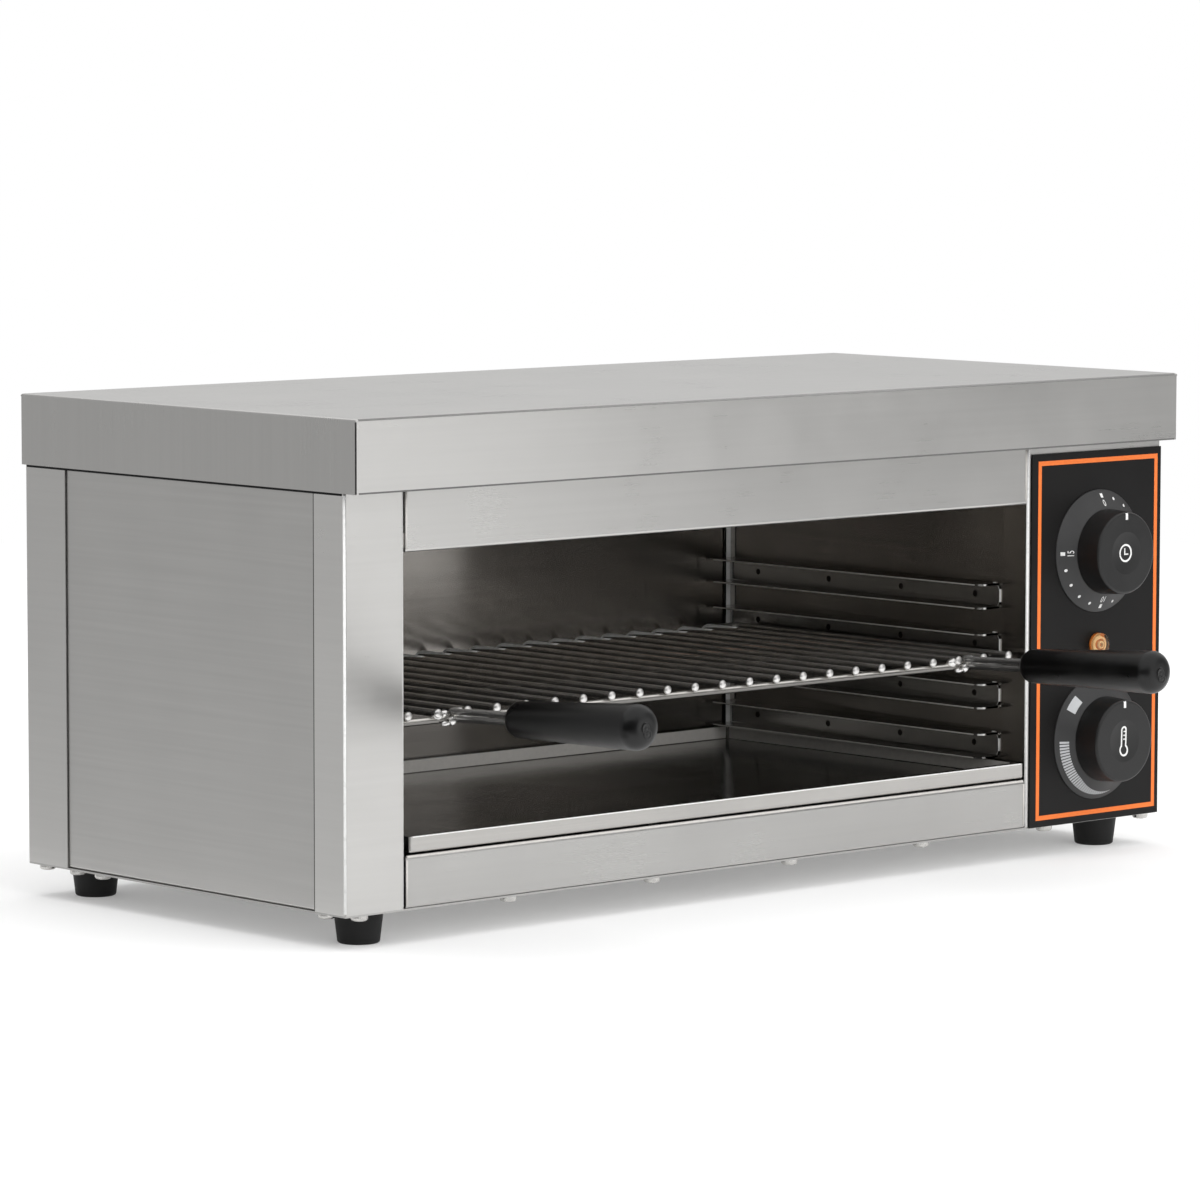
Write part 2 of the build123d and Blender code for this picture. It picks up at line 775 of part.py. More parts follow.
# Element hangers: strips bolted under the ceiling, with a hole for each leg
hanger_span = element_leg_ys[-1] - element_leg_ys[0] + 2 * (element_radius + hanger_margin)
hanger_bottom_z = element_z - element_radius - hanger_margin / 2
hanger_rear_y = element_leg_ys[-1] + element_radius + hanger_margin
for name, hanger_x in (("left", opening_left_x + hanger_inset), ("right", opening_right_x - hanger_inset)):
    with BuildPart() as element_hanger:
        with BuildSketch(Plane.XZ.offset(-hanger_rear_y)):
            with BuildLine():
                FilletPolyline(
                    (hanger_x, hanger_bottom_z),
                    (hanger_x, ceiling_z),
                    (hanger_x + hanger_flange, ceiling_z),
                    radius=bend,
                )
                offset(amount=hanger_sheet, side=Side.RIGHT)
            make_face()
        extrude(amount=hanger_span)
        with BuildSketch(Plane.YZ.offset(hanger_x)):
            with Locations([(y, element_z) for y in element_leg_ys]):
                Circle(element_radius + hanger_clearance)
        extrude(amount=hanger_sheet, mode=Mode.SUBTRACT)
    element_hanger.part.label = f"element_hanger_{name}"
    export_step(element_hanger.part, f"parts/element_hanger_{name}.step")

# Element bushes: rings that hold the legs on the control side of the cavity wall
with BuildPart() as element_bushes:
    with BuildSketch(Plane.YZ.offset(cavity_right_x + liner)):
        with Locations([(y, element_z) for y in element_leg_ys]):
            Circle(bush_radius)
            Circle(element_radius + hanger_clearance, mode=Mode.SUBTRACT)
    extrude(amount=bush_length)
element_bushes.part.label = "element_bushes"
export_step(element_bushes.part, "parts/element_bushes.step")

# Element terminals: pins on the ends of the legs
with BuildPart() as element_terminals:
    with BuildSketch(Plane.YZ.offset(element_right_x)):
        with Locations([(y, element_z) for y in element_leg_ys]):
            Circle(terminal_radius)
    extrude(amount=terminal_length)
element_terminals.part.label = "element_terminals"
export_step(element_terminals.part, "parts/element_terminals.step")

# Dials: switch body behind the column, bezel on the panel, and a knob on its shaft
knob_back_y = panel_front_y - bezel_height - knob_gap
knob_back = Plane.XZ.offset(-knob_back_y)
for name, dial_z, body_size, body_length in (
    ("timer", timer_z, timer_size, timer_length),
    ("thermostat", thermostat_z, thermostat_size, thermostat_length),
):
    boss_front_y = panel_front_y - boss_reach
    with BuildPart() as dial_body:
        with BuildSketch(Plane.XZ.offset(-column_back_y)):
            with Locations((dial_x, dial_z)):
                RectangleRounded(body_size, body_size, control_round)
        extrude(amount=-body_length)
        with BuildSketch(Plane.XZ.offset(-column_back_y)):
            with Locations((dial_x, dial_z)):
                Circle(bush_boss_radius)
        extrude(amount=column_back_y - boss_front_y)
        with BuildSketch(Plane.XZ.offset(-boss_front_y)):
            with Locations((dial_x, dial_z)):
                Circle(shaft_radius + shaft_clearance)
        extrude(amount=boss_front_y - column_back_y - shaft_depth, mode=Mode.SUBTRACT)
    dial_body.part.label = f"{name}_body"
    export_step(dial_body.part, f"parts/{name}_body.step")

    with BuildPart() as bezel:
        bezel_plane = Plane((dial_x, panel_front_y, dial_z), x_dir=(1, 0, 0), z_dir=(0, 0, -1))
        with BuildSketch(bezel_plane) as bezel_outline:
            with BuildLine():
                Polyline(
                    (bezel_hole_radius, 0),
                    (bezel_radius, 0),
                    (bezel_radius, bezel_rim),
                    (knob_root_radius, bezel_height),
                    (bezel_hole_radius, bezel_height),
                    close=True,
                )
            make_face()
            fillet(bezel_outline.vertices().group_by(Axis.X)[-1].sort_by(Axis.Y)[-1], radius=bezel_rim / 2)
        revolve(axis=Axis((dial_x, panel_front_y, dial_z), (0, -1, 0)))
    bezel.part.label = f"{name}_bezel"
    export_step(bezel.part, f"parts/{name}_bezel.step")

    with BuildPart() as knob:
        knob_plane = Plane((dial_x, knob_back_y, dial_z), x_dir=(1, 0, 0), z_dir=(0, 0, -1))
        with BuildSketch(knob_plane) as knob_outline:
            with BuildLine():
                Polyline(
                    (0, knob_length - knob_dish_depth),
                    (0, 0),
                    (knob_root_radius, 0),
                    (knob_face_radius, knob_length),
                    (knob_dish_radius, knob_length),
                )
                TangentArc(
                    (0, knob_length - knob_dish_depth),
                    (knob_dish_radius, knob_length),
                    tangent=(1, 0),
                )
            make_face()
            fillet(knob_outline.vertices().sort_by(Axis.X)[-2], radius=knob_edge)
        revolve(axis=Axis((dial_x, knob_back_y, dial_z), (0, -1, 0)))
        with BuildSketch(knob_back):
            with Locations((dial_x, dial_z)):
                Circle(knob_face_radius - knob_wall)
                Circle(hub_radius, mode=Mode.SUBTRACT)
        extrude(amount=knob_length - knob_floor, mode=Mode.SUBTRACT)
        with BuildSketch(knob_back) as shaft_hole:
            with Locations((dial_x, dial_z)):
                Circle(shaft_radius)
            with Locations((dial_x, dial_z + shaft_radius - shaft_flat)):
                Rectangle(2 * shaft_radius, 2 * shaft_flat, align=low_middle, mode=Mode.SUBTRACT)
        extrude(amount=shaft_engagement, mode=Mode.SUBTRACT)
    knob.part.label = f"{name}_knob"
    export_step(knob.part, f"parts/{name}_knob.step")

    with BuildPart() as shaft:
        with BuildSketch(knob_back):
            with Locations((dial_x, dial_z)):
                Circle(shaft_radius)
        extrude(amount=knob_back_y - column_back_y - shaft_depth)
        add(extrude(to_extrude=shaft_hole.sketch, amount=shaft_engagement, mode=Mode.PRIVATE))
    shaft.part.label = f"{name}_shaft"
    export_step(shaft.part, f"parts/{name}_shaft.step")

# Pilot lamp: an amber lens on the panel, and the lamp body through the column behind it
with BuildPart() as pilot_lens:
    lens_plane = Plane((dial_x, panel_front_y, lamp_z), x_dir=(1, 0, 0), z_dir=(0, 0, -1))
    with BuildSketch(lens_plane) as lens_outline:
        Rectangle(lens_radius, lens_length, align=low_left)
        fillet(lens_outline.vertices().sort_by(Axis.X)[-2:].sort_by(Axis.Y)[-1], radius=lens_round)
    revolve(axis=Axis((dial_x, panel_front_y, lamp_z), (0, -1, 0)))
pilot_lens.part.label = "pilot_lens"
export_step(pilot_lens.part, "parts/pilot_lens.step")

with BuildPart() as pilot_lamp_body:
    with BuildSketch(Plane.XZ.offset(-panel_front_y)):
        with Locations((dial_x, lamp_z)):
            Circle(lamp_radius)
    extrude(amount=-lamp_length)
pilot_lamp_body.part.label = "pilot_lamp_body"
export_step(pilot_lamp_body.part, "parts/pilot_lamp_body.step")

# Thermostat bulb under the ceiling, its clips, and the capillary to the thermostat
with BuildPart() as thermostat_bulb:
    with BuildSketch(Plane.YZ.offset(bulb_right_x - bulb_length)):
        with Locations((bulb_y, bulb_z)):
            Circle(bulb_radius)
    extrude(amount=bulb_length)
thermostat_bulb.part.label = "thermostat_bulb"
export_step(thermostat_bulb.part, "parts/thermostat_bulb.step")

with BuildPart() as bulb_clips:
    for side in (-1, 1):
        clip_x = bulb_right_x - bulb_length / 2 + side * clip_pitch / 2 - clip_width / 2
        with BuildSketch(Plane.YZ.offset(clip_x)):
            with Locations((bulb_y, bulb_z)):
                Circle(bulb_radius + clip_sheet)
                Rectangle(2 * clip_sheet, ceiling_z - bulb_z, align=low_middle)
                Circle(bulb_radius + rod_clearance, mode=Mode.SUBTRACT)
        extrude(amount=clip_width)
bulb_clips.part.label = "bulb_clips"
export_step(bulb_clips.part, "parts/bulb_clips.step")

with BuildPart() as capillary_tube:
    thermostat_back_y = column_back_y + thermostat_length
    with BuildLine():
        FilletPolyline(
            (bulb_right_x, bulb_y, bulb_z),
            (dial_x, bulb_y, bulb_z),
            (dial_x, thermostat_back_y + capillary_behind, bulb_z),
            (dial_x, thermostat_back_y + capillary_behind, thermostat_z),
            (dial_x, thermostat_back_y, thermostat_z),
            radius=capillary_bend,
        )
    with BuildSketch(Plane.YZ.offset(bulb_right_x)):
        with Locations((bulb_y, bulb_z)):
            Circle(capillary_radius)
    sweep()
capillary_tube.part.label = "capillary_tube"
export_step(capillary_tube.part, "parts/capillary_tube.step")

# Terminal block on the base plate, and the cable gland with its lock nut in the rear cover
with BuildPart() as terminal_block:
    block_y = rear_y - block_rear_gap
    with BuildSketch(Plane.XY.offset(wall_z)):
        with Locations((dial_x, block_y)):
            Rectangle(block_width, block_depth)
    extrude(amount=block_height)
    with BuildSketch(Plane.XY.offset(wall_z + block_height)):
        with Locations((dial_x, block_y)):
            with GridLocations(block_width / block_ways, 0, block_ways, 1):
                Circle(block_way_radius)
    extrude(amount=-block_way_depth, mode=Mode.SUBTRACT)
terminal_block.part.label = "terminal_block"
export_step(terminal_block.part, "parts/terminal_block.step")

gland_centre = Vector(dial_x, rear_y, gland_z)
with BuildPart() as cable_gland:
    with BuildSketch(Plane(gland_centre, x_dir=(1, 0, 0), z_dir=(0, 0, 1))) as gland_outline:
        with BuildLine():
            Polyline(
                (gland_bore_radius, -gland_barrel_length),
                (gland_barrel_radius, -gland_barrel_length),
                (gland_barrel_radius, 0),
                (gland_collar_radius, 0),
                (gland_collar_radius, gland_collar_length),
                (gland_cap_radius, gland_collar_length),
                (gland_cap_radius, gland_reach),
                (gland_bore_radius, gland_reach),
                close=True,
            )
        make_face()
        fillet(gland_outline.vertices().group_by(Axis.Y)[-1].sort_by(Axis.X)[-1], radius=gland_round)
    revolve(axis=Axis(gland_centre, (0, 1, 0)))
cable_gland.part.label = "cable_gland"
export_step(cable_gland.part, "parts/cable_gland.step")

with BuildPart() as gland_nut:
    with BuildSketch(Plane.XZ.offset(sheet - rear_y)):
        with Locations((dial_x, gland_z)):
            RegularPolygon(gland_nut_radius, side_count=6)
            Circle(gland_barrel_radius + rod_clearance, mode=Mode.SUBTRACT)
    extrude(amount=gland_nut_height)
gland_nut.part.label = "gland_nut"
export_step(gland_nut.part, "parts/gland_nut.step")


def make_screw(shank_length):
    """A pan-head screw that points up, with the underside of its head at the origin."""
    with BuildPart() as screw:
        with BuildSketch(Plane.XZ) as head:
            Rectangle(screw_head_radius, screw_head_height, align=(Align.MIN, Align.MAX))
            fillet(head.vertices().group_by(Axis.Y)[0].sort_by(Axis.X)[-1], radius=screw_head_height / 2)
        revolve(axis=Axis.Z)
        with BuildSketch():
            Circle(screw_radius)
        extrude(amount=shank_length)
    return screw.part


# Base screws and lid screws
with BuildPart() as base_screws:
    with Locations([(x, y, base_z) for x, y in all_base_screws]):
        add(make_screw(2 * sheet + screw_end))
base_screws.part.label = "base_screws"
export_step(base_screws.part, "parts/base_screws.step")

with BuildPart() as lid_screws:
    with Locations([Location((x, lid_rear_y, lid_screw_z), (90, 0, 0)) for x in lid_screw_xs]):
        add(make_screw(lid_rear_overhang + sheet + screw_end))
lid_screws.part.label = "lid_screws"
export_step(lid_screws.part, "parts/lid_screws.step")

# Feet: tapered rubber with a pocket for the screw, which a nut holds on the base plate
for name, (foot_x, foot_y) in foot_places.items():
    with BuildPart() as foot:
        with BuildSketch(Plane((foot_x, foot_y, 0), x_dir=(1, 0, 0), z_dir=(0, -1, 0))) as foot_outline:
            with BuildLine():
                Polyline(
                    (0, 0),
                    (foot_bottom_radius, 0),
                    (foot_top_radius, foot_height),
                    (0, foot_height),
                    close=True,
                )
            make_face()
            fillet(foot_outline.vertices().group_by(Axis.Y)[0].sort_by(Axis.X)[-1], radius=foot_round)
        revolve(axis=Axis((foot_x, foot_y, 0), (0, 0, 1)))
        with BuildSketch():
            with Locations((foot_x, foot_y)):
                Circle(foot_pocket_radius)
        extrude(amount=foot_pocket_depth, mode=Mode.SUBTRACT)
        with BuildSketch():
            with Locations((foot_x, foot_y)):
                Circle(screw_hole_radius)
        extrude(amount=foot_height, mode=Mode.SUBTRACT)
    foot.part.label = name
    export_step(foot.part, f"parts/{name}.step")

with BuildPart() as foot_screws:
    with Locations([(x, y, foot_pocket_depth) for x, y in foot_places.values()]):
        add(make_screw(wall_z - foot_pocket_depth + nut_height + screw_end))
foot_screws.part.label = "foot_screws"
export_step(foot_screws.part, "parts/foot_screws.step")

with BuildPart() as foot_nuts:
    with BuildSketch(Plane.XY.offset(wall_z)):
        with Locations(list(foot_places.values())):
            RegularPolygon(nut_radius, side_count=6)
            Circle(screw_hole_radius, mode=Mode.SUBTRACT)
    extrude(amount=nut_height)
foot_nuts.part.label = "foot_nuts"
export_step(foot_nuts.part, "parts/foot_nuts.step")
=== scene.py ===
"""Looks of the salamander grill: materials, printed marks, small details, light and camera."""
import math

import bmesh
import bpy
from mathutils import Matrix, Vector, noise


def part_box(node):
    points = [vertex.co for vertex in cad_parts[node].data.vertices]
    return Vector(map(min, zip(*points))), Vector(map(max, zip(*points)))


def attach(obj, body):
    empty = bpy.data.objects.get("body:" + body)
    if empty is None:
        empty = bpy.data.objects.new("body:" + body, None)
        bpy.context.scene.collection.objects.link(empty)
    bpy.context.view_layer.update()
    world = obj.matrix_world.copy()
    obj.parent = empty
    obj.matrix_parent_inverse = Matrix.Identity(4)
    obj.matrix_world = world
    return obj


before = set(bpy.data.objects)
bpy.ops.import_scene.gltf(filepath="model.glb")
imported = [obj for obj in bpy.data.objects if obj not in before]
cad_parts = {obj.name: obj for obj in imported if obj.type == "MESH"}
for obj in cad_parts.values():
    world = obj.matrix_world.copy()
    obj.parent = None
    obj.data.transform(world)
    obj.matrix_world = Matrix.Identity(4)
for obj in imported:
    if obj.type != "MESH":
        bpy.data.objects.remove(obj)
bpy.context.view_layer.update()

# Lengths here are in millimetres, in the frame of the CAD part, unless a comment says metres
MM = 0.001


def corners(node):
    """A CAD node's lowest and highest corners in millimetres."""
    low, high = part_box(node)
    return Vector(low) / MM, Vector(high) / MM


front_y = corners("lower_rail")[0].y
rear_y = corners("rear_cover")[1].y
lid_low, lid_high = corners("top_cover")

# Camera, as the photograph was taken: x, distance in front of the cabinet's front, and height
CAMERA_X = -2164.7
CAMERA_AWAY = 2235.8
CAMERA_Z = 463.1
CAMERA_AZIMUTH = 42.308
CAMERA_ELEVATION = 5.571
CAMERA_ROLL = 0.084
CAMERA_LENS = 174.276
CAMERA_SENSOR = 36.0
# How far the camera sees, in metres
CAMERA_REACH = 100.0


# Shader nodes
def feed(tree, socket, value):
    """Links a node's output to a socket, or sets the socket to a plain value."""
    if isinstance(value, bpy.types.NodeSocket):
        tree.links.new(value, socket)
    else:
        socket.default_value = value


def add_node(tree, kind, inputs=(), **settings):
    """New shader node with its settings, and its inputs fed by name or number."""
    node = tree.nodes.new("ShaderNode" + kind)
    for name, setting in settings.items():
        setattr(node, name, setting)
    for key, value in dict(inputs).items():
        feed(tree, node.inputs[key], value)
    return node


UNIT = {"X": (1.0, 0.0, 0.0), "Y": (0.0, 1.0, 0.0), "Z": (0.0, 0.0, 1.0)}
# In the order in which a mix node has its sockets
MIX_KINDS = ("FLOAT", "VECTOR", "RGBA")
# Values of a noise between which colours and roughness change
NOISE_LOW, NOISE_HIGH = 0.3, 0.7
# Least part of the normal along X on a face that looks sideways
SIDEWAYS = 0.7


class Tree:
    """A material's node tree, with short calls for the nodes that the materials here use."""

    def __init__(self, name, color, roughness, metallic=0.0, specular=0.5):
        self.mat = bpy.data.materials.new(name)
        self.mat.use_nodes = True
        self.shader = self.mat.node_tree.nodes["Principled BSDF"]
        self.set("Base Color", (*color, 1.0))
        self.set("Roughness", roughness)
        self.set("Metallic", metallic)
        self.set("Specular IOR Level", specular)
        self.coords = self.add("TexCoord").outputs["Object"]
        self.normal = self.add("NewGeometry").outputs["Normal"]

    def add(self, kind, inputs=(), **settings):
        return add_node(self.mat.node_tree, kind, inputs, **settings)

    def set(self, name, value):
        """Feeds one of the shader's inputs."""
        feed(self.mat.node_tree, self.shader.inputs[name], value)

    def noise(self, scale, detail):
        """Noise with its own scale, in features per metre, along each axis."""
        mapping = self.add("Mapping", {"Vector": self.coords, "Scale": scale})
        inputs = {"Vector": mapping.outputs["Vector"], "Scale": 1.0, "Detail": detail}
        return self.add("TexNoise", inputs).outputs["Fac"]

    def even_noise(self, grain, detail):
        """Noise with the same scale along all axes."""
        return self.noise((grain, grain, grain), detail)

    def math(self, operation, *values):
        return self.add("Math", enumerate(values), operation=operation).outputs["Value"]

    def choose(self, factor, first, second, kind="FLOAT"):
        """first where factor is 0, second where it is 1."""
        place = MIX_KINDS.index(kind)
        inputs = {0: factor, 2 + 2 * place: first, 3 + 2 * place: second}
        return self.add("Mix", inputs, data_type=kind).outputs[place]

    def span(self, value, low, high, from_low=NOISE_LOW, from_high=NOISE_HIGH):
        """value, from from_low to from_high, spread from low to high."""
        inputs = {"Value": value, "From Min": from_low, "From Max": from_high}
        inputs.update({"To Min": low, "To Max": high})
        return self.add("MapRange", inputs).outputs["Result"]

    def ramp(self, value, stops):
        """Colour from a ramp of (place, colour) stops."""
        node = self.add("ValToRGB", {"Fac": value})
        while len(node.color_ramp.elements) < len(stops):
            node.color_ramp.elements.new(1.0)
        for element, (place, color) in zip(node.color_ramp.elements, stops):
            element.position = place
            element.color = (*color, 1.0)
        return node.outputs["Color"]

    def tint(self, value, low, high):
        """Sets the colour to go from low to high with a noise."""
        self.set("Base Color", self.ramp(value, ((NOISE_LOW, low), (NOISE_HIGH, high))))

    def rough(self, value, low, high):
        """Sets the roughness to go from low to high with a noise."""
        self.set("Roughness", self.span(value, low, high))

    def mottle(self, value, color, roughness, dark, pale, smoother, rougher):
        """Lets a noise shade the colour from dark to pale and change the roughness."""
        self.tint(value, shade(color, dark), shade(color, pale))
        self.rough(value, roughness - smoother, roughness + rougher)

    def bump(self, value, strength, depth):
        """Bump of that depth in millimetres."""
        inputs = {"Strength": strength, "Distance": depth * MM, "Height": value}
        self.set("Normal", self.add("Bump", inputs).outputs["Normal"])

    def normal_part(self, axis):
        """One part of the surface's normal."""
        return self.add("SeparateXYZ", {"Vector": self.normal}).outputs[axis]

    def facing_side(self):
        """1 on faces that look left or right, 0 on the others."""
        return self.math("GREATER_THAN", self.math("ABSOLUTE", self.normal_part("X")), SIDEWAYS)

    def across(self, flat_axis, side, side_axis):
        """Sets the gloss to spread across grain lines that run along the axes."""
        grain = self.choose(side, UNIT[flat_axis], UNIT[side_axis], "VECTOR")
        cross = self.add("VectorMath", {0: self.normal, 1: grain}, operation="CROSS_PRODUCT")
        self.set("Tangent", cross.outputs["Vector"])


# Materials
FINE_GRAIN = 2300.0
WIDE_GRAIN = 380.0
GRAIN_STRETCH = 6.0
CLOUD = 8.0
SMEAR = 24.0
# Values of a noise at which brushed steel has its darker, middle and paler colours
LOW, MIDDLE, HIGH = 0.35, 0.5, 0.65
WIDE_SHARE = 0.5
CLOUD_SHARE = 0.25
FINE_SHARE, SMEAR_SHARE = 0.4, 0.6
GRAIN_BUMP = 0.06
GRAIN_DEPTH = 0.04


def shade(color, share):
    """A lighter or darker colour."""
    return tuple(channel * share for channel in color)


def along(axis, fine, stretch):
    """Noise scale for lines that run along an axis."""
    return tuple(stretch if name == axis else fine for name in "XYZ")


def brushed_steel(
    name, color, roughness, flat_axis, side_axis, wear=0.02, gloss=0.04, spread=0.6, flank=None
):
    """Brushed sheet: grain lines along flat_axis, and along side_axis on faces that look sideways.
    flank is the colour and roughness of faces that look sideways, where they differ; the callers use it
    for painted light and painted shade on those faces."""
    tree = Tree(name, color, roughness, metallic=1.0)
    tree.set("Anisotropic", spread)
    side = tree.facing_side()
    tree.across(flat_axis, side, side_axis)
    fine, wide = (
        tree.choose(
            side,
            tree.noise(along(flat_axis, scale, GRAIN_STRETCH), detail),
            tree.noise(along(side_axis, scale, GRAIN_STRETCH), detail),
        )
        for scale, detail in ((FINE_GRAIN, 3.0), (WIDE_GRAIN, 2.0))
    )
    cloud = tree.even_noise(CLOUD, detail=4.0)
    smear = tree.even_noise(SMEAR, detail=5.0)
    mixed = tree.math(
        "ADD",
        tree.math("MULTIPLY", wide, WIDE_SHARE),
        tree.math("MULTIPLY", tree.math("ADD", cloud, smear), CLOUD_SHARE),
    )
    dark, pale = 1.0 - wear, 1.0 + wear
    paint = tree.ramp(mixed, ((LOW, shade(color, dark)), (MIDDLE, color), (HIGH, shade(color, pale))))
    blur = tree.math(
        "ADD", tree.math("MULTIPLY", fine, FINE_SHARE), tree.math("MULTIPLY", smear, SMEAR_SHARE)
    )
    blur = tree.span(blur, roughness - gloss, roughness + gloss, LOW, HIGH)
    if flank:
        flank_color, flank_roughness = flank
        flank_paint = tree.ramp(mixed, ((LOW, shade(flank_color, dark)), (HIGH, shade(flank_color, pale))))
        paint = tree.choose(side, paint, flank_paint, "RGBA")
        flank_blur = tree.span(smear, flank_roughness - gloss, flank_roughness + gloss)
        blur = tree.choose(side, blur, flank_blur)
    tree.set("Base Color", paint)
    tree.set("Roughness", blur)
    tree.bump(fine, GRAIN_BUMP, GRAIN_DEPTH)
    return tree.mat


HANDLING = 45.0


def moulded(name, color, roughness, specular, grain, depth):
    """Moulded plastic or rubber with a fine eroded surface."""
    tree = Tree(name, color, roughness, specular=specular)
    skin = tree.even_noise(grain, detail=3.0)
    handling = tree.even_noise(HANDLING, detail=4.0)
    tree.mottle(handling, color, roughness, dark=0.85, pale=1.2, smoother=0.06, rougher=0.07)
    tree.bump(skin, strength=0.3, depth=depth)
    return tree.mat


WIRE_PATCH = 60.0
DRAW_MARKS = (1500.0, 40.0, 1500.0)
PATCH_SHARE = 0.4
SHADED_AT, LIT_AT = 0.2, 1.15
# Places on the way from the painted shade below to the painted highlight on top, and the wire's shade at
# each
WIRE_SHADES = ((0.0, 0.22), (0.4, 0.55), (1.0, 1.0))


def drawn_wire(name, color, roughness, metallic):
    """Plated drawn wire: faint draw marks, a painted highlight on top and painted shade below, shifted by
    random patches.
    """
    tree = Tree(name, color, roughness, metallic=metallic)
    patches = tree.even_noise(WIRE_PATCH, detail=4.0)
    marks = tree.noise(DRAW_MARKS, detail=2.0)
    # Painted highlight and shade: the colour is lighter where the normal points up, darker on the sides
    # and below
    lit_top_and_patches = tree.math("ADD", tree.normal_part("Z"), tree.math("MULTIPLY", patches, PATCH_SHARE))
    stops = [(place, shade(color, share)) for place, share in WIRE_SHADES]
    tree.set("Base Color", tree.ramp(tree.span(lit_top_and_patches, 0.0, 1.0, SHADED_AT, LIT_AT), stops))
    tree.rough(patches, roughness - 0.05, roughness + 0.08)
    tree.bump(marks, strength=0.1, depth=0.03)
    return tree.mat


INK_GRAIN = 350.0


def ink(name, color, roughness, specular=0.25):
    """Printed colour, slightly uneven."""
    tree = Tree(name, color, roughness, specular=specular)
    cover = tree.even_noise(INK_GRAIN, detail=3.0)
    tree.mottle(cover, color, roughness, dark=0.95, pale=1.04, smoother=0.05, rougher=0.05)
    tree.bump(cover, strength=0.12, depth=0.02)
    return tree.mat


def plain_metal(name, color, roughness, spread=0.06, grain=500.0):
    """Turned or plated metal with a slight mottle."""
    tree = Tree(name, color, roughness, metallic=1.0)
    patches = tree.even_noise(grain, detail=3.0)
    tree.mottle(patches, color, roughness, dark=0.88, pale=1.08, smoother=spread, rougher=spread)
    tree.bump(patches, strength=0.2, depth=0.03)
    return tree.mat


AMBER, AMBER_DEEP, AMBER_PALE = (1.0, 0.66, 0.32), (1.0, 0.63, 0.28), (1.0, 0.72, 0.40)
AMBER_CLEAR = 0.96
AMBER_BENDING = 1.4
AMBER_HAZE = 420.0


def amber_lens():
    """Clear amber moulding with a little cloudiness."""
    tree = Tree("lens_amber_clear", AMBER, roughness=0.06)
    tree.set("Transmission Weight", AMBER_CLEAR)
    tree.set("IOR", AMBER_BENDING)
    haze = tree.even_noise(AMBER_HAZE, detail=3.0)
    tree.rough(haze, low=0.02, high=0.07)
    tree.tint(haze, AMBER_DEEP, AMBER_PALE)
    tree.bump(haze, strength=0.1, depth=0.03)
    return tree.mat


STEEL = (0.635, 0.628, 0.612)
LINER = (0.455, 0.431, 0.403)
TRAY = (0.47, 0.458, 0.44)

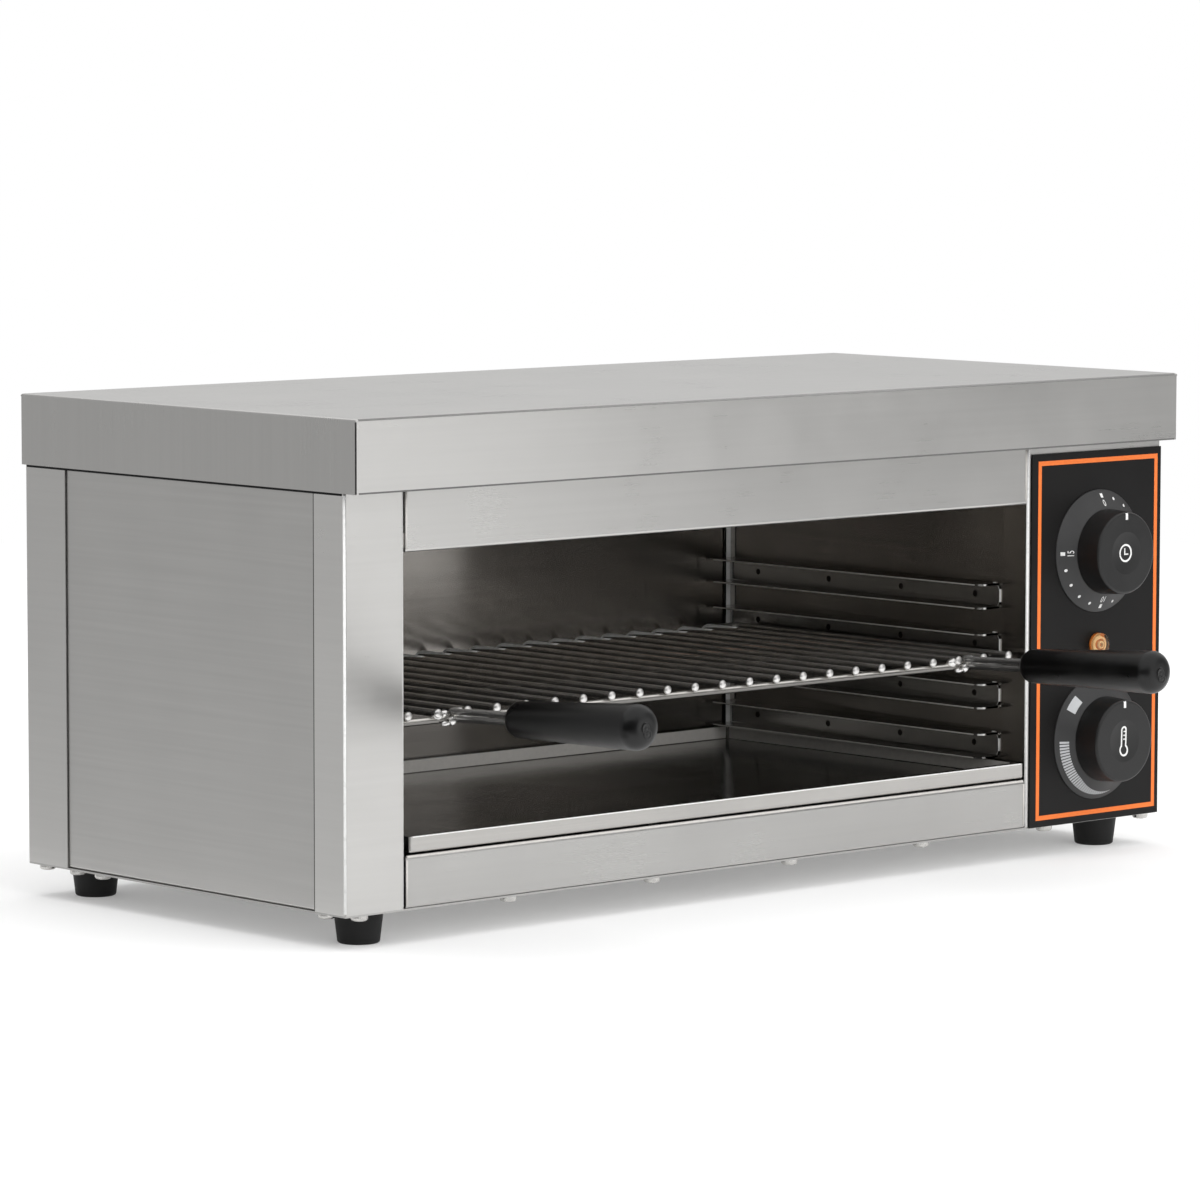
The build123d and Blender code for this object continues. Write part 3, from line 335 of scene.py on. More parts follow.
materials = {
    "lid": brushed_steel("lid_steel", STEEL, 0.31, "X", "Z"),
    # Painted light: the post's faces that look sideways are a lighter copy of the steel
    "upright": brushed_steel("upright_steel", STEEL, 0.31, "X", "Y", flank=(shade(STEEL, 1.22), 0.31)),
    # Painted shade: the column's faces that look sideways take the darker liner colour, for the shade
    # inside the grill space
    "column": brushed_steel("column_steel", STEEL, 0.31, "X", "Y", flank=(LINER, 0.17)),
    "side": brushed_steel("side_steel", STEEL, 0.34, "Y", "Y", wear=0.04),
    # Painted light: the rear cover's faces that look sideways are a lighter copy of the steel
    "rear": brushed_steel("rear_steel", STEEL, 0.33, "X", "Y", flank=(shade(STEEL, 1.1), 0.33)),
    # Painted shade: the rail and the fascia are darker copies of the steel, for the darker reflections
    # they show
    "rail": brushed_steel("rail_steel", shade(STEEL, 0.8), 0.30, "X", "Z"),
    "fascia": brushed_steel("fascia_steel", shade(STEEL, 0.94), 0.30, "X", "Z"),
    "base": brushed_steel("base_steel", shade(STEEL, 0.85), 0.38, "X", "Y"),
    "liner": brushed_steel("liner_steel", LINER, 0.19, "X", "Y", wear=0.07, spread=0.95),
    "runner": brushed_steel("runner_sheet_steel", shade(STEEL, 0.85), 0.22, "Y", "Y", wear=0.05),
    "tray": brushed_steel("tray_sheet_steel", TRAY, 0.14, "X", "Y", wear=0.04, spread=0.9),
    # Painted highlight on the wires' tops and painted shade below them
    "rack": drawn_wire("rack_wire_top_highlight", (0.98, 0.95, 0.90), 0.13, 0.88),
    "rods": drawn_wire("rod_wire_top_highlight", (0.92, 0.91, 0.89), 0.12, 0.8),
    "weld": plain_metal("weld_bright", (0.95, 0.94, 0.92), 0.3, grain=700.0),
    "cut": plain_metal("wire_cut_bright", (0.86, 0.85, 0.83), 0.34, grain=900.0),
    # Painted highlight: pale ink for strips on bends and edges
    "pale": ink("painted_highlight_soft", (0.62, 0.60, 0.57), 0.4, specular=0.6),
    # Painted shade: grey lines in the lid's top fold and along its lower edge
    "fold_shade": ink("lid_fold_shade_grey", (0.23, 0.228, 0.223), 0.45),
    "under_shade": ink("lid_lower_edge_shade", (0.13, 0.128, 0.126), 0.45),
    "upstand": ink("tray_wall_sheen", (0.50, 0.485, 0.46), 0.35, specular=0.5),
    # Painted highlight: bright ink for the lines and strips on folds, bends and edges
    "bright": ink("painted_highlight_bright", (0.90, 0.90, 0.89), 0.3, specular=0.6),
    # Painted shadow: black for the gap under the lid and the dark gaps in the grill space's corners
    "shadow_black": moulded("painted_shadow_black", (0.006, 0.006, 0.006), 0.6, 0.2, 900.0, 0.04),
    "joint": moulded("joint_shadow", (0.035, 0.034, 0.033), 0.6, 0.2, 900.0, 0.04),
    "grip": moulded("grip_plastic", (0.0022, 0.0022, 0.0023), 0.33, 0.44, 2600.0, 0.04),
    "panel": moulded("panel_film", (0.0064, 0.0060, 0.0059), 0.48, 0.2, 1800.0, 0.02),
    "bezel": moulded("bezel_plastic", (0.028, 0.028, 0.0284), 0.42, 0.45, 2400.0, 0.03),
    "knob": moulded("knob_plastic", (0.0125, 0.0125, 0.0125), 0.38, 0.40, 2600.0, 0.03),
    "rubber": moulded("foot_rubber_black", (0.008, 0.008, 0.008), 0.6, 0.3, 1500.0, 0.06),
    "gland": moulded("gland_plastic", (0.014, 0.014, 0.014), 0.5, 0.4, 1500.0, 0.05),
    "switch": moulded("switch_plastic", (0.05, 0.048, 0.045), 0.5, 0.4, 900.0, 0.05),
    "ceramic": moulded("ceramic_white", (0.66, 0.63, 0.57), 0.45, 0.4, 700.0, 0.06),
    "orange": ink("orange_ink", (0.88, 0.20, 0.04), 0.5),
    "white": ink("white_ink", (0.80, 0.80, 0.79), 0.5),
    "grey": ink("grey_ink", (0.52, 0.53, 0.54), 0.5),
    "spot": plain_metal("spot_weld_mark", (0.05, 0.044, 0.04), 0.45),
    # Painted shade in the screws' cross recesses
    "recess_shade": plain_metal("screw_recess_shade", (0.035, 0.034, 0.033), 0.5),
    "screw": plain_metal("screw_plated", (0.62, 0.61, 0.59), 0.25),
    "shaft": plain_metal("shaft_turned", (0.55, 0.54, 0.53), 0.25),
    "hanger": plain_metal("hanger_strip", (0.42, 0.40, 0.38), 0.35),
    "sheath": plain_metal("element_sheath_oxide", (0.115, 0.105, 0.098), 0.48, grain=220.0),
    "brass": plain_metal("brass_turned", (0.66, 0.47, 0.19), 0.28),
    "copper": plain_metal("copper_drawn", (0.72, 0.36, 0.22), 0.3),
    "core": ink("lamp_reflector", (1.0, 0.93, 0.82), 0.35, specular=0.5),
    "socket": ink("lamp_socket_amber", (0.62, 0.22, 0.035), 0.35, specular=0.5),
    "lens": amber_lens(),
}

# Which CAD nodes take each material, by the start of their names: the longest start that fits counts
node_starts = {
    "lid": "top_cover",
    "upright": "front_left_post",
    "column": "control_column",
    "fascia": "upper_fascia",
    "rail": "lower_rail",
    "side": "left_side_panel right_side_panel",
    "rear": "rear_cover",
    "base": "base_plate",
    "liner": "cavity_",
    "runner": "left_runner right_runner",
    "rack": "wire_rack",
    "rods": "left_handle_rods right_handle_rods",
    "grip": "left_grip right_grip",
    "tray": "crumb_tray",
    "sheath": "heating_element",
    "hanger": "element_hanger bulb_clips",
    "ceramic": "element_bushes terminal_block",
    "brass": "element_terminals",
    "switch": "timer_body thermostat_body pilot_lamp_body",
    "bezel": "timer_bezel thermostat_bezel",
    "knob": "timer_knob thermostat_knob",
    "shaft": "timer_shaft thermostat_shaft",
    "panel": "control_panel",
    "lens": "pilot_lens",
    "copper": "thermostat_bulb capillary_tube",
    "gland": "cable_gland gland_nut",
    "screw": "base_screws lid_screws foot_screws foot_nuts",
    "rubber": "foot_",
}

start_kinds = [(start, kind) for kind, starts in node_starts.items() for start in starts.split()]
for node_name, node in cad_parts.items():
    fits = [(len(start), kind) for start, kind in start_kinds if node_name.startswith(start)]
    node.data.materials.clear()
    node.data.materials.append(materials[max(fits)[1]])


# Mesh helpers
def new_object(name, data):
    """New object in the scene."""
    obj = bpy.data.objects.new(name, data)
    bpy.context.scene.collection.objects.link(obj)
    return obj


def piece(name, solid, material, body, smooth=False):
    """A mesh piece from (points, faces) in millimetres, riding on a body."""
    points, faces = solid
    mesh = bpy.data.meshes.new(name)
    mesh.from_pydata([Vector(point) * MM for point in points], [], faces)
    mesh.update()
    mesh.materials.append(materials[material])
    if smooth:
        mesh.shade_smooth()
    obj = new_object(name, mesh)
    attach(obj, body)


def thicken(flat, place, height):
    """Closed thin solid from a flat mesh of (u, v) points: place(u, v, h) gives a point at height h."""
    points, faces = flat
    count = len(points)
    solid_points = [place(u, v, h) for h in (0.0, height) for u, v in points]
    edges = dict.fromkeys(edge for face in faces for edge in zip(face, face[1:] + face[:1]))
    solid_faces = [tuple(reversed(face)) for face in faces]
    solid_faces += [tuple(index + count for index in face) for face in faces]
    solid_faces += [
        (first, second, second + count, first + count)
        for first, second in edges
        if (second, first) not in edges
    ]
    return solid_points, solid_faces


def joined(solids):
    """Several (points, faces) as one."""
    points, faces = [], []
    for more_points, more_faces in solids:
        start = len(points)
        points += more_points
        faces += [tuple(index + start for index in face) for face in more_faces]
    return points, faces


def grid(u_values, v_values):
    """Flat mesh of quads over a grid."""
    points = [(u, v) for v in v_values for u in u_values]
    width = len(u_values)
    faces = []
    for row in range(len(v_values) - 1):
        for column in range(width - 1):
            start = row * width + column
            faces.append([start, start + 1, start + width + 1, start + width])
    return points, faces


def band(inner, outer):
    """Flat mesh between two closed loops with as many points each, both counter-clockwise."""
    count = len(inner)
    faces = []
    for index in range(count):
        after = (index + 1) % count
        faces.append([index, index + count, after + count, after])
    return list(inner) + list(outer), faces


def fan(loop):
    """Flat mesh inside one counter-clockwise loop."""
    return list(loop), [list(range(len(loop)))]


def circle(radius, count):
    """Counter-clockwise loop."""
    turns = [2 * math.pi * index / count for index in range(count)]
    return [(radius * math.cos(turn), radius * math.sin(turn)) for turn in turns]


def steps(start, end, count):
    """count + 1 evenly spaced values."""
    return [start + (end - start) * index / count for index in range(count + 1)]


def front_plate(center_x, center_z, plane_y):
    """Places flat points on an upright plane that looks forward: u right, v up, h forward."""
    return lambda u, v, h: (center_x + u, plane_y - h, center_z + v)


def lathe(profile, count, place):
    """Closed solid of revolution from (radius, height) points that start and end on the axis."""
    inner = profile[1:-1]
    points = [place(0.0, 0.0, profile[0][1])]
    for radius, height in inner:
        points += [place(u, v, height) for u, v in circle(radius, count)]
    points.append(place(0.0, 0.0, profile[-1][1]))
    last = len(points) - 1
    faces = []
    for index in range(count):
        after = (index + 1) % count
        faces.append((0, 1 + after, 1 + index))
        for ring in range(len(inner) - 1):
            start = 1 + ring * count
            faces.append((start + index, start + after, start + count + after, start + count + index))
        start = 1 + (len(inner) - 1) * count
        faces.append((start + index, start + after, last))
    return points, faces


EASE = 0.25


def block(low, high):
    """Closed box between two corners, its long edges eased."""
    ease = EASE * min(high[axis] - low[axis] for axis in range(3))
    points = []
    a, b, c = sorted(range(3), key=lambda axis: high[axis] - low[axis])
    (left, right), (bottom, top) = (low[a], high[a]), (low[b], high[b])
    loop = [(left + ease, bottom), (right - ease, bottom), (right, bottom + ease), (right, top - ease)]
    loop += [(right - ease, top), (left + ease, top), (left, top - ease), (left, bottom + ease)]
    for end in (low[c], high[c]):
        for first, second in loop:
            point = [0.0, 0.0, 0.0]
            point[a], point[b], point[c] = first, second, end
            points.append(tuple(point))
    count = len(loop)
    faces = [tuple(range(count))[::-1], tuple(range(count, 2 * count))]
    for index in range(count):
        after = (index + 1) % count
        faces.append((index, after, after + count, index + count))
    if (a, b, c) not in ((0, 1, 2), (1, 2, 0), (2, 0, 1)):
        faces = [face[::-1] for face in faces]
    return points, faces


TEXT_MERGE = 0.0001


def words(text, size, narrow):
    """Flat mesh of a short text, centred, counter-clockwise, its width times narrow."""
    curve = bpy.data.curves.new("figure", "FONT")
    curve.body = text
    curve.size = size
    curve.align_x = curve.align_y = "CENTER"
    carrier = new_object("figure", curve)
    bpy.context.view_layer.update()
    mesh = bpy.data.meshes.new_from_object(carrier)
    shape = bmesh.new()
    shape.from_mesh(mesh)
    bmesh.ops.remove_doubles(shape, verts=shape.verts, dist=TEXT_MERGE)
    shape.verts.ensure_lookup_table()
    points = [(vert.co.x * narrow, vert.co.y) for vert in shape.verts]
    faces = []
    for face in shape.faces:
        loop = [vert.index for vert in face.verts]
        faces.append(loop if face.normal.z > 0 else loop[::-1])
    shape.free()
    bpy.data.objects.remove(carrier)
    bpy.data.curves.remove(curve)
    bpy.data.meshes.remove(mesh)
    return points, faces


# Control panel print
INK = 0.08
BORDER_LINE = 2.6
BORDER_LEFT = 5.0
BORDER_RIGHT = 2.9
BORDER_TOP = 4.1
BORDER_BOTTOM = 3.8

panel_low, panel_high = corners("control_panel")


def rectangle(x0, z0, x1, z1):
    """Counter-clockwise loop."""
    return [(x0, z0), (x1, z0), (x1, z1), (x0, z1)]


left, right = panel_low.x + BORDER_LEFT, panel_high.x - BORDER_RIGHT
bottom, top = panel_low.z + BORDER_BOTTOM, panel_high.z - BORDER_TOP
border = band(
    rectangle(left + BORDER_LINE, bottom + BORDER_LINE, right - BORDER_LINE, top - BORDER_LINE),
    rectangle(left, bottom, right, top),
)
border_solid = thicken(border, front_plate(0.0, 0.0, panel_low.y), INK)
piece("panel_border", border_solid, "orange", "cabinet")

# Dial marks on the bezels
BEZEL_RIM = 0.8
CONE_RADIUS = 24.2
MARK = 0.06
MARK_STEPS = 3
DOT_SIDES = 16
FIGURE_SIZE = 4.9
FIGURE_NARROW = 0.85


def on_cone(node):
    """Places (clockwise angle in degrees, radius, height) on a bezel's cone."""
    low, high = corners(node)
    center = (low + high) / 2
    radius = (high.x - low.x) / 2
    rise = (high.y - low.y - BEZEL_RIM) / (radius - CONE_RADIUS)

    def place(angle, reach, h):
        turn = math.radians(angle)
        front = BEZEL_RIM + (radius - reach) * rise
        return (center.x + reach * math.sin(turn), high.y - front - h, center.z + reach * math.cos(turn))

    return place


def bar(angle, half_width, inner, outer):
    """Flat radial bar: half_width in millimetres at its middle radius."""
    half = math.degrees(half_width / ((inner + outer) / 2))
    return grid(steps(angle - half, angle + half, MARK_STEPS), steps(inner, outer, MARK_STEPS))


def dot(angle, reach, radius):
    """Flat round dot in (angle, radius)."""
    return fan([(angle + math.degrees(u / reach), reach + v) for u, v in circle(radius, DOT_SIDES)])


def figure(text, angle, reach):
    """Number with its top outward."""
    points, faces = words(text, FIGURE_SIZE, FIGURE_NARROW)
    return [(angle + math.degrees(u / (reach + v)), reach + v) for u, v in points], faces


MINUTE_TURN = 18.0
MINUTES = 15
FIGURE_EVERY = 5
MINUTE_REACH = 30.7
MINUTE_DOT = 0.85
BAR_HALF = 1.0
BAR_INNER = 30.3
BAR_OUTER = 32.6
FIGURE_REACH = 27.2
timer_marks = []
for minute in range(MINUTES + 1):
    angle = minute * MINUTE_TURN
    if minute % FIGURE_EVERY:
        timer_marks.append(dot(angle, MINUTE_REACH, MINUTE_DOT))
    else:
        timer_marks.append(bar(angle, BAR_HALF, BAR_INNER, BAR_OUTER))
        timer_marks.append(figure(str(minute), angle, FIGURE_REACH))

BLOCK_ANGLE = 313.5
BLOCK_HALF = 4.7
BAND_INNER = 27.4
BAND_OUTER = 32.2
BAND_START = 269.5
BAND_NARROWS = 218.0
BAND_END = 160.0
STRIPE_TURN = 3.3
STRIPE_HALF = 1.1
STRIPE_LEAST = 0.25
thermostat_marks = [bar(BLOCK_ANGLE, BLOCK_HALF, BAND_INNER, BAND_OUTER)]
stripe = BAND_START
while stripe > BAND_END:
    share = min(1.0, (stripe - BAND_END) / (BAND_NARROWS - BAND_END))
    inner = BAND_OUTER - (BAND_OUTER - BAND_INNER) * share
    if BAND_OUTER - inner > STRIPE_LEAST:
        angles = steps(stripe - STRIPE_HALF, stripe + STRIPE_HALF, MARK_STEPS)
        thermostat_marks.append(grid(angles, steps(inner, BAND_OUTER, MARK_STEPS)))
    stripe -= STRIPE_TURN

for dial, marks, color in (("timer", timer_marks, "white"), ("thermostat", thermostat_marks, "grey")):
    cone = on_cone(f"{dial}_bezel")
    marks_solid = joined([thicken(mark, cone, MARK) for mark in marks])
    piece(f"{dial}_marks", marks_solid, color, "cabinet")

# Knob pointers and pictograms
KNOB_EDGE = 1.6
KNOB_FACE_RADIUS = 23.2
DISH_RADIUS = 12.0
DISH_DEPTH = 0.9
POINTER_HALF = 0.95
POINTER_INNER = 18.9
POINTER_SIDE = 4.4
POINTER_STEPS, EDGE_STEPS = 3, 6
STROKE = 1.05


def dish_place(node):
    """Places flat points on a knob's face, which dips in a round dish: u right, v up, h forward."""
    low, high = corners(node)
    center = (low + high) / 2
    ball = (DISH_RADIUS ** 2 + DISH_DEPTH ** 2) / (2 * DISH_DEPTH)

    def place(u, v, h):
        away = math.hypot(u, v)
        dip = 0.0
        if away < DISH_RADIUS:
            dip = math.sqrt(ball ** 2 - away ** 2) - (ball - DISH_DEPTH)
        return (center.x + u, low.y + dip - h, center.z + v)

    return place


def pointer(node):
    """White bar from the face over the rounded edge and a little way down the side."""
    low, high = corners(node)
    center = (low + high) / 2
    bend_radius = KNOB_FACE_RADIUS - KNOB_EDGE
    path = [(reach, 0.0, 0.0) for reach in steps(POINTER_INNER, bend_radius, POINTER_STEPS)[:-1]]
    for turn in steps(0.0, math.pi / 2, EDGE_STEPS):
        reach = bend_radius + KNOB_EDGE * math.sin(turn)
        path.append((reach, KNOB_EDGE * (1.0 - math.cos(turn)), turn))
    path.append((KNOB_FACE_RADIUS, POINTER_SIDE, math.pi / 2))

    def place(u, v, h):
        reach, depth, turn = path[round(v)]
        return (center.x + u, low.y + depth - h * math.cos(turn), center.z + reach + h * math.sin(turn))

    return thicken(grid([-POINTER_HALF, POINTER_HALF], list(range(len(path)))), place, MARK)


def hand(u0, v0, u1, v1, width):
    """Straight stroke between two points."""
    along_u, along_v = u1 - u0, v1 - v0
    length = math.hypot(along_u, along_v)
    side_u, side_v = -along_v / length * width / 2, along_u / length * width / 2
    loop = [(u0 - side_u, v0 - side_v), (u1 - side_u, v1 - side_v)]
    loop += [(u1 + side_u, v1 + side_v), (u0 + side_u, v0 + side_v)]
    return fan(loop)


CLOCK_RADIUS = 4.6
CLOCK_HAND = 2.7
CLOCK_SHORT_HAND = 2.3
HAND_WIDTH = 0.8
HANDS_U, HANDS_V = -0.6, -0.7
HAND_TAIL = -1.1
CLOCK_SIDES = 40
clock = [
    band(circle(CLOCK_RADIUS - STROKE / 2, CLOCK_SIDES), circle(CLOCK_RADIUS + STROKE / 2, CLOCK_SIDES)),
    hand(HANDS_U, HAND_TAIL, HANDS_U, CLOCK_HAND, HAND_WIDTH),
    hand(HANDS_U + HAND_WIDTH / 2, HANDS_V, CLOCK_SHORT_HAND, HANDS_V, HAND_WIDTH),
]

BULB_RADIUS = 3.0
BULB_DROP = 5.2
STEM_HALF = 1.75
STEM_TOP = 6.2
RUNGS = (1.0, 3.2, 5.4)
RUNG_WIDTH = 0.7
RUNG_START = -0.2
BULB_STEPS, TOP_STEPS = 32, 14


def thermometer_loop(grow):
    """Counter-clockwise outline of a thermometer, grown by grow."""
    ball, half = BULB_RADIUS + grow, STEM_HALF + grow
    opening = math.asin(half / ball)
    loop = [
        (ball * math.sin(turn), -BULB_DROP + ball * math.cos(turn))
        for turn in steps(-opening, opening - 2 * math.pi, BULB_STEPS)
    ]
    for turn in steps(0.0, math.pi, TOP_STEPS):
        loop.append((half * math.cos(turn), STEM_TOP + half * math.sin(turn)))
    return loop


thermometer = [band(thermometer_loop(-STROKE / 2), thermometer_loop(STROKE / 2))]
for rung in RUNGS:
    thermometer.append(hand(RUNG_START, rung, STEM_HALF - STROKE / 2, rung, RUNG_WIDTH))

for dial, sign in (("timer", clock), ("thermostat", thermometer)):
    face = dish_place(f"{dial}_knob")
    sign_solid = joined([thicken(stroke, face, MARK) for stroke in sign])
    piece(f"{dial}_sign", sign_solid, "white", f"{dial}_dial")
    piece(f"{dial}_pointer", pointer(f"{dial}_knob"), "white", f"{dial}_dial")

# Pilot lamp's inside
lens_low, lens_high = corners("pilot_lens")
lens_center = (lens_low + lens_high) / 2
SOCKET_PROFILE = ((0.0, 0.02), (5.7, 0.02), (5.7, 0.6), (5.0, 1.0), (0.0, 1.05))
CORE_RINGS = ((3.5, 4.5, 2.2), (1.3, 2.2, 3.2))
LAMP_SIDES = 28
lamp_place = front_plate(lens_center.x, lens_center.z, panel_low.y)
piece("lamp_socket", lathe(SOCKET_PROFILE, LAMP_SIDES, lamp_place), "socket", "cabinet")
core_rings = [
    thicken(band(circle(inner, LAMP_SIDES), circle(outer, LAMP_SIDES)), lamp_place, height)
    for inner, outer, height in CORE_RINGS
]
piece("lamp_core", joined(core_rings), "core", "cabinet")

# Runner spot welds
RUNNER_SHEET = 1.0
RUNNER_CORNER = 5.0
SPOT_FIRST = 40.4
SPOT_PITCH = 59.0
SPOT_COUNT = 4
SPOT_SIDES = 18
LEVELS = (1, 2, 3, 4)
SIDES = (("left", 1.0), ("right", -1.0))
SPOT_PROFILE = ((0.0, 0.0), (1.8, 0.0), (1.65, 0.12), (1.15, 0.14), (0.9, 0.08), (0.0, 0.06))
for side_name, inward in SIDES:
    solids = []
    for level in LEVELS:
        low, high = corners(f"{side_name}_runner_{level}")
        web_x = low.x + RUNNER_SHEET if inward > 0 else high.x - RUNNER_SHEET
        web_z = (low.z + high.z) / 2
        for index in range(SPOT_COUNT):
            spot_y = front_y + SPOT_FIRST + index * SPOT_PITCH
            place = lambda u, v, h, x=web_x, y=spot_y, z=web_z: (x + inward * h, y + inward * u, z + v)
            solids.append(lathe(SPOT_PROFILE, SPOT_SIDES, place))
    piece(f"{side_name}_spot_welds", joined(solids), "spot", "cabinet")


# Rack wire ends
END_DEPTH = 0.4
END_WIDTH = 9.0


def end_centers(node, axis, outer):
    """Centre of each wire end or screw head in a node, from its outermost points along an axis."""
    points = [vert.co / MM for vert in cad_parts[node].data.vertices]
    limit = outer(point[axis] for point in points)
    ends = []
    for point in points:
        if abs(point[axis] - limit) > END_DEPTH:
            continue
        for end in ends:
            if (end[0] - point).length < END_WIDTH:
                end.append(point)
                break
        else:
            ends.append([point])
    centers = []
    for end in ends:
        center = Vector([(min(p[i] for p in end) + max(p[i] for p in end)) / 2 for i in range(3)])
        center[axis] = limit
        centers.append(center)
    return centers


CAP_SIDES = 20
CAP_PROFILE = ((0.0, -0.3), (2.2, -0.3), (2.45, 0.1), (2.4, 0.6), (1.9, 1.1), (1.0, 1.4), (0.0, 1.45))
wire_ends = end_centers("wire_rack", 1, min)
caps = [lathe(CAP_PROFILE, CAP_SIDES, front_plate(center.x, center.z, center.y)) for center in wire_ends]
piece("rack_wire_ends", joined(caps), "cut", "rack", smooth=True)

# Painted highlights on the tops of the rack's wires near their rear ends, and round the bends there
WIRE_RADIUS = 2.0
WIRE_BEND = 6.0
REAR_WIRE_WELD = 0.3
SLEEVE = 0.08
SLEEVE_RUN = 24.0
SLEEVE_TAPER = 0.55
SLEEVE_HALF = 85.0
SLEEVE_TURN = 75.0
RUN_STEPS, TURN_STEPS, SLEEVE_SIDES = 4, 7, 9


def bend_sleeve(x, y, z):
    """Thin skin over a wire's top: v is the turn round the bend, or minus the way in front of it."""
    def place(u, v, h):
        taper = 1.0 + SLEEVE_TAPER * min(v, 0.0) / SLEEVE_RUN
        around, turn = math.radians(90.0 + taper * u), math.radians(max(v, 0.0))
        reach = WIRE_BEND + (WIRE_RADIUS + h) * math.sin(around)
        return (
            x + (WIRE_RADIUS + h) * math.cos(around),
            y + min(v, 0.0) + reach * math.sin(turn),
            z + reach * math.cos(turn),
        )

    places = steps(-SLEEVE_RUN, 0.0, RUN_STEPS)[:-1] + steps(0.0, SLEEVE_TURN, TURN_STEPS)
    return thicken(grid(steps(SLEEVE_HALF, -SLEEVE_HALF, SLEEVE_SIDES), places), place, SLEEVE)


rack_rear = corners("wire_rack")[1].y
bend_y = rack_rear - 3 * WIRE_RADIUS + REAR_WIRE_WELD - WIRE_BEND
inner_ends = sorted(wire_ends, key=lambda center: center.x)[1:-1]
sleeves = [bend_sleeve(center.x, bend_y, center.z - WIRE_BEND) for center in inner_ends]
piece("rack_rear_bend_highlights", joined(sleeves), "bright", "rack", smooth=True)

# Moulded ring and pip on the end of each grip
GRIP_RING = ((0.0, -0.2), (2.7, -0.2), (2.65, 0.12), (2.3, 0.22), (1.95, 0.12), (1.8, 0.02))
GRIP_PIP = ((0.9, 0.02), (0.75, 0.14), (0.0, 0.18))
GRIP_MARK_SIDES = 24
grip_marks = [
    lathe(GRIP_RING + GRIP_PIP, GRIP_MARK_SIDES, front_plate(center.x, center.z, center.y))
    for grip_name in ("left_grip", "right_grip")
    for center in end_centers(grip_name, 1, min)
]
piece("grip_end_marks", joined(grip_marks), "knob", "rack", smooth=True)

# Weld beads where the handles hook round the front wire
BEAD_LUMP = 0.22
BEAD_LUMPS = 1.9
BEAD_SIDES, BEAD_RINGS = 18, 9


def bead(center, radii, seed):
    """Lumpy closed bead of weld metal."""
    def place(u, v, h):
        point = Vector((u, v, h))
        swell = 1.0 + BEAD_LUMP * noise.noise(point * BEAD_LUMPS + Vector((seed, 0, 0)))
        return tuple(center[axis] + point[axis] * radii[axis] * swell for axis in range(3))

    lifts = steps(-math.pi / 2, math.pi / 2, BEAD_RINGS)
    return lathe([(math.cos(lift), math.sin(lift)) for lift in lifts], BEAD_SIDES, place)


# Beads near a hook: place from the hook's bend, and half sizes
HOOK_WELDS = (
    ((-8.5, -0.6, 2.6), (3.6, 2.6, 2.6)),
    ((-3.5, 0.2, 2.8), (3.4, 2.2, 2.2)),
    ((3.5, 0.3, 3.1), (4.0, 2.1, 1.7)),
    ((-0.5, -3.0, -0.6), (2.3, 1.8, 2.5)),
    ((-4.5, -2.2, -2.0), (2.8, 1.5, 1.5)),
)
FRONT_WIRE_BACK = 2.6
ROD_RADIUS = 1.75
rack_low = corners("wire_rack")[0]
front_wire_z = min(end_centers("wire_rack", 0, min), key=lambda center: center.y).z
for handle in ("left", "right"):
    rods_x = corners(f"{handle}_handle_rods")[0].x
    hook = Vector((rods_x + ROD_RADIUS, rack_low.y + FRONT_WIRE_BACK, front_wire_z))
    solids = [bead(hook + Vector(offset), radii, seed) for seed, (offset, radii) in enumerate(HOOK_WELDS)]
    piece(f"{handle}_handle_welds", joined(solids), "weld", "rack", smooth=True)

# Cross recesses on screw heads, drawn as thin dark crosses of painted shade
RECESS = 0.05
RECESS_REACH = 2.2
RECESS_HALF = 0.55


def cross():
    """Flat cross, counter-clockwise."""
    a, b = RECESS_REACH, RECESS_HALF
    loop = [(b, -a), (b, -b), (a, -b), (a, b), (b, b), (b, a)]
    return fan(loop + [(-u, -v) for u, v in loop])


base_crosses = [
    thicken(cross(), lambda u, v, h, c=center: (c.x + u, c.y - v, c.z - h), RECESS)
    for center in end_centers("base_screws", 2, min)
]
piece("base_screw_crosses", joined(base_crosses), "recess_shade", "cabinet")
lid_crosses = [
    thicken(cross(), lambda u, v, h, c=center: (c.x - u, c.y + h, c.z + v), RECESS)
    for center in end_centers("lid_screws", 1, max)
]
piece("lid_screw_crosses", joined(lid_crosses), "recess_shade", "cabinet")

# Seams, painted shadow in the gap under the lid, and folded edges
FRONT_SEAM = 1.7
REAR_SEAM = 0.4
SEAM_PROUD = 0.15
SHADOW_DROP = 1.3
SHADOW_TUCK = 1.5
SMALL_GAP = 0.1
SHEET = 1.0
wall_bottom = corners("front_left_post")[0].z
side_high = corners("rear_cover")[1].x
seam_front = corners("front_left_post")[1].y
seam_rear = corners("rear_cover")[0].y
panel_x = side_high - SHEET
skirt_x = lid_high.x - SHEET - SMALL_GAP
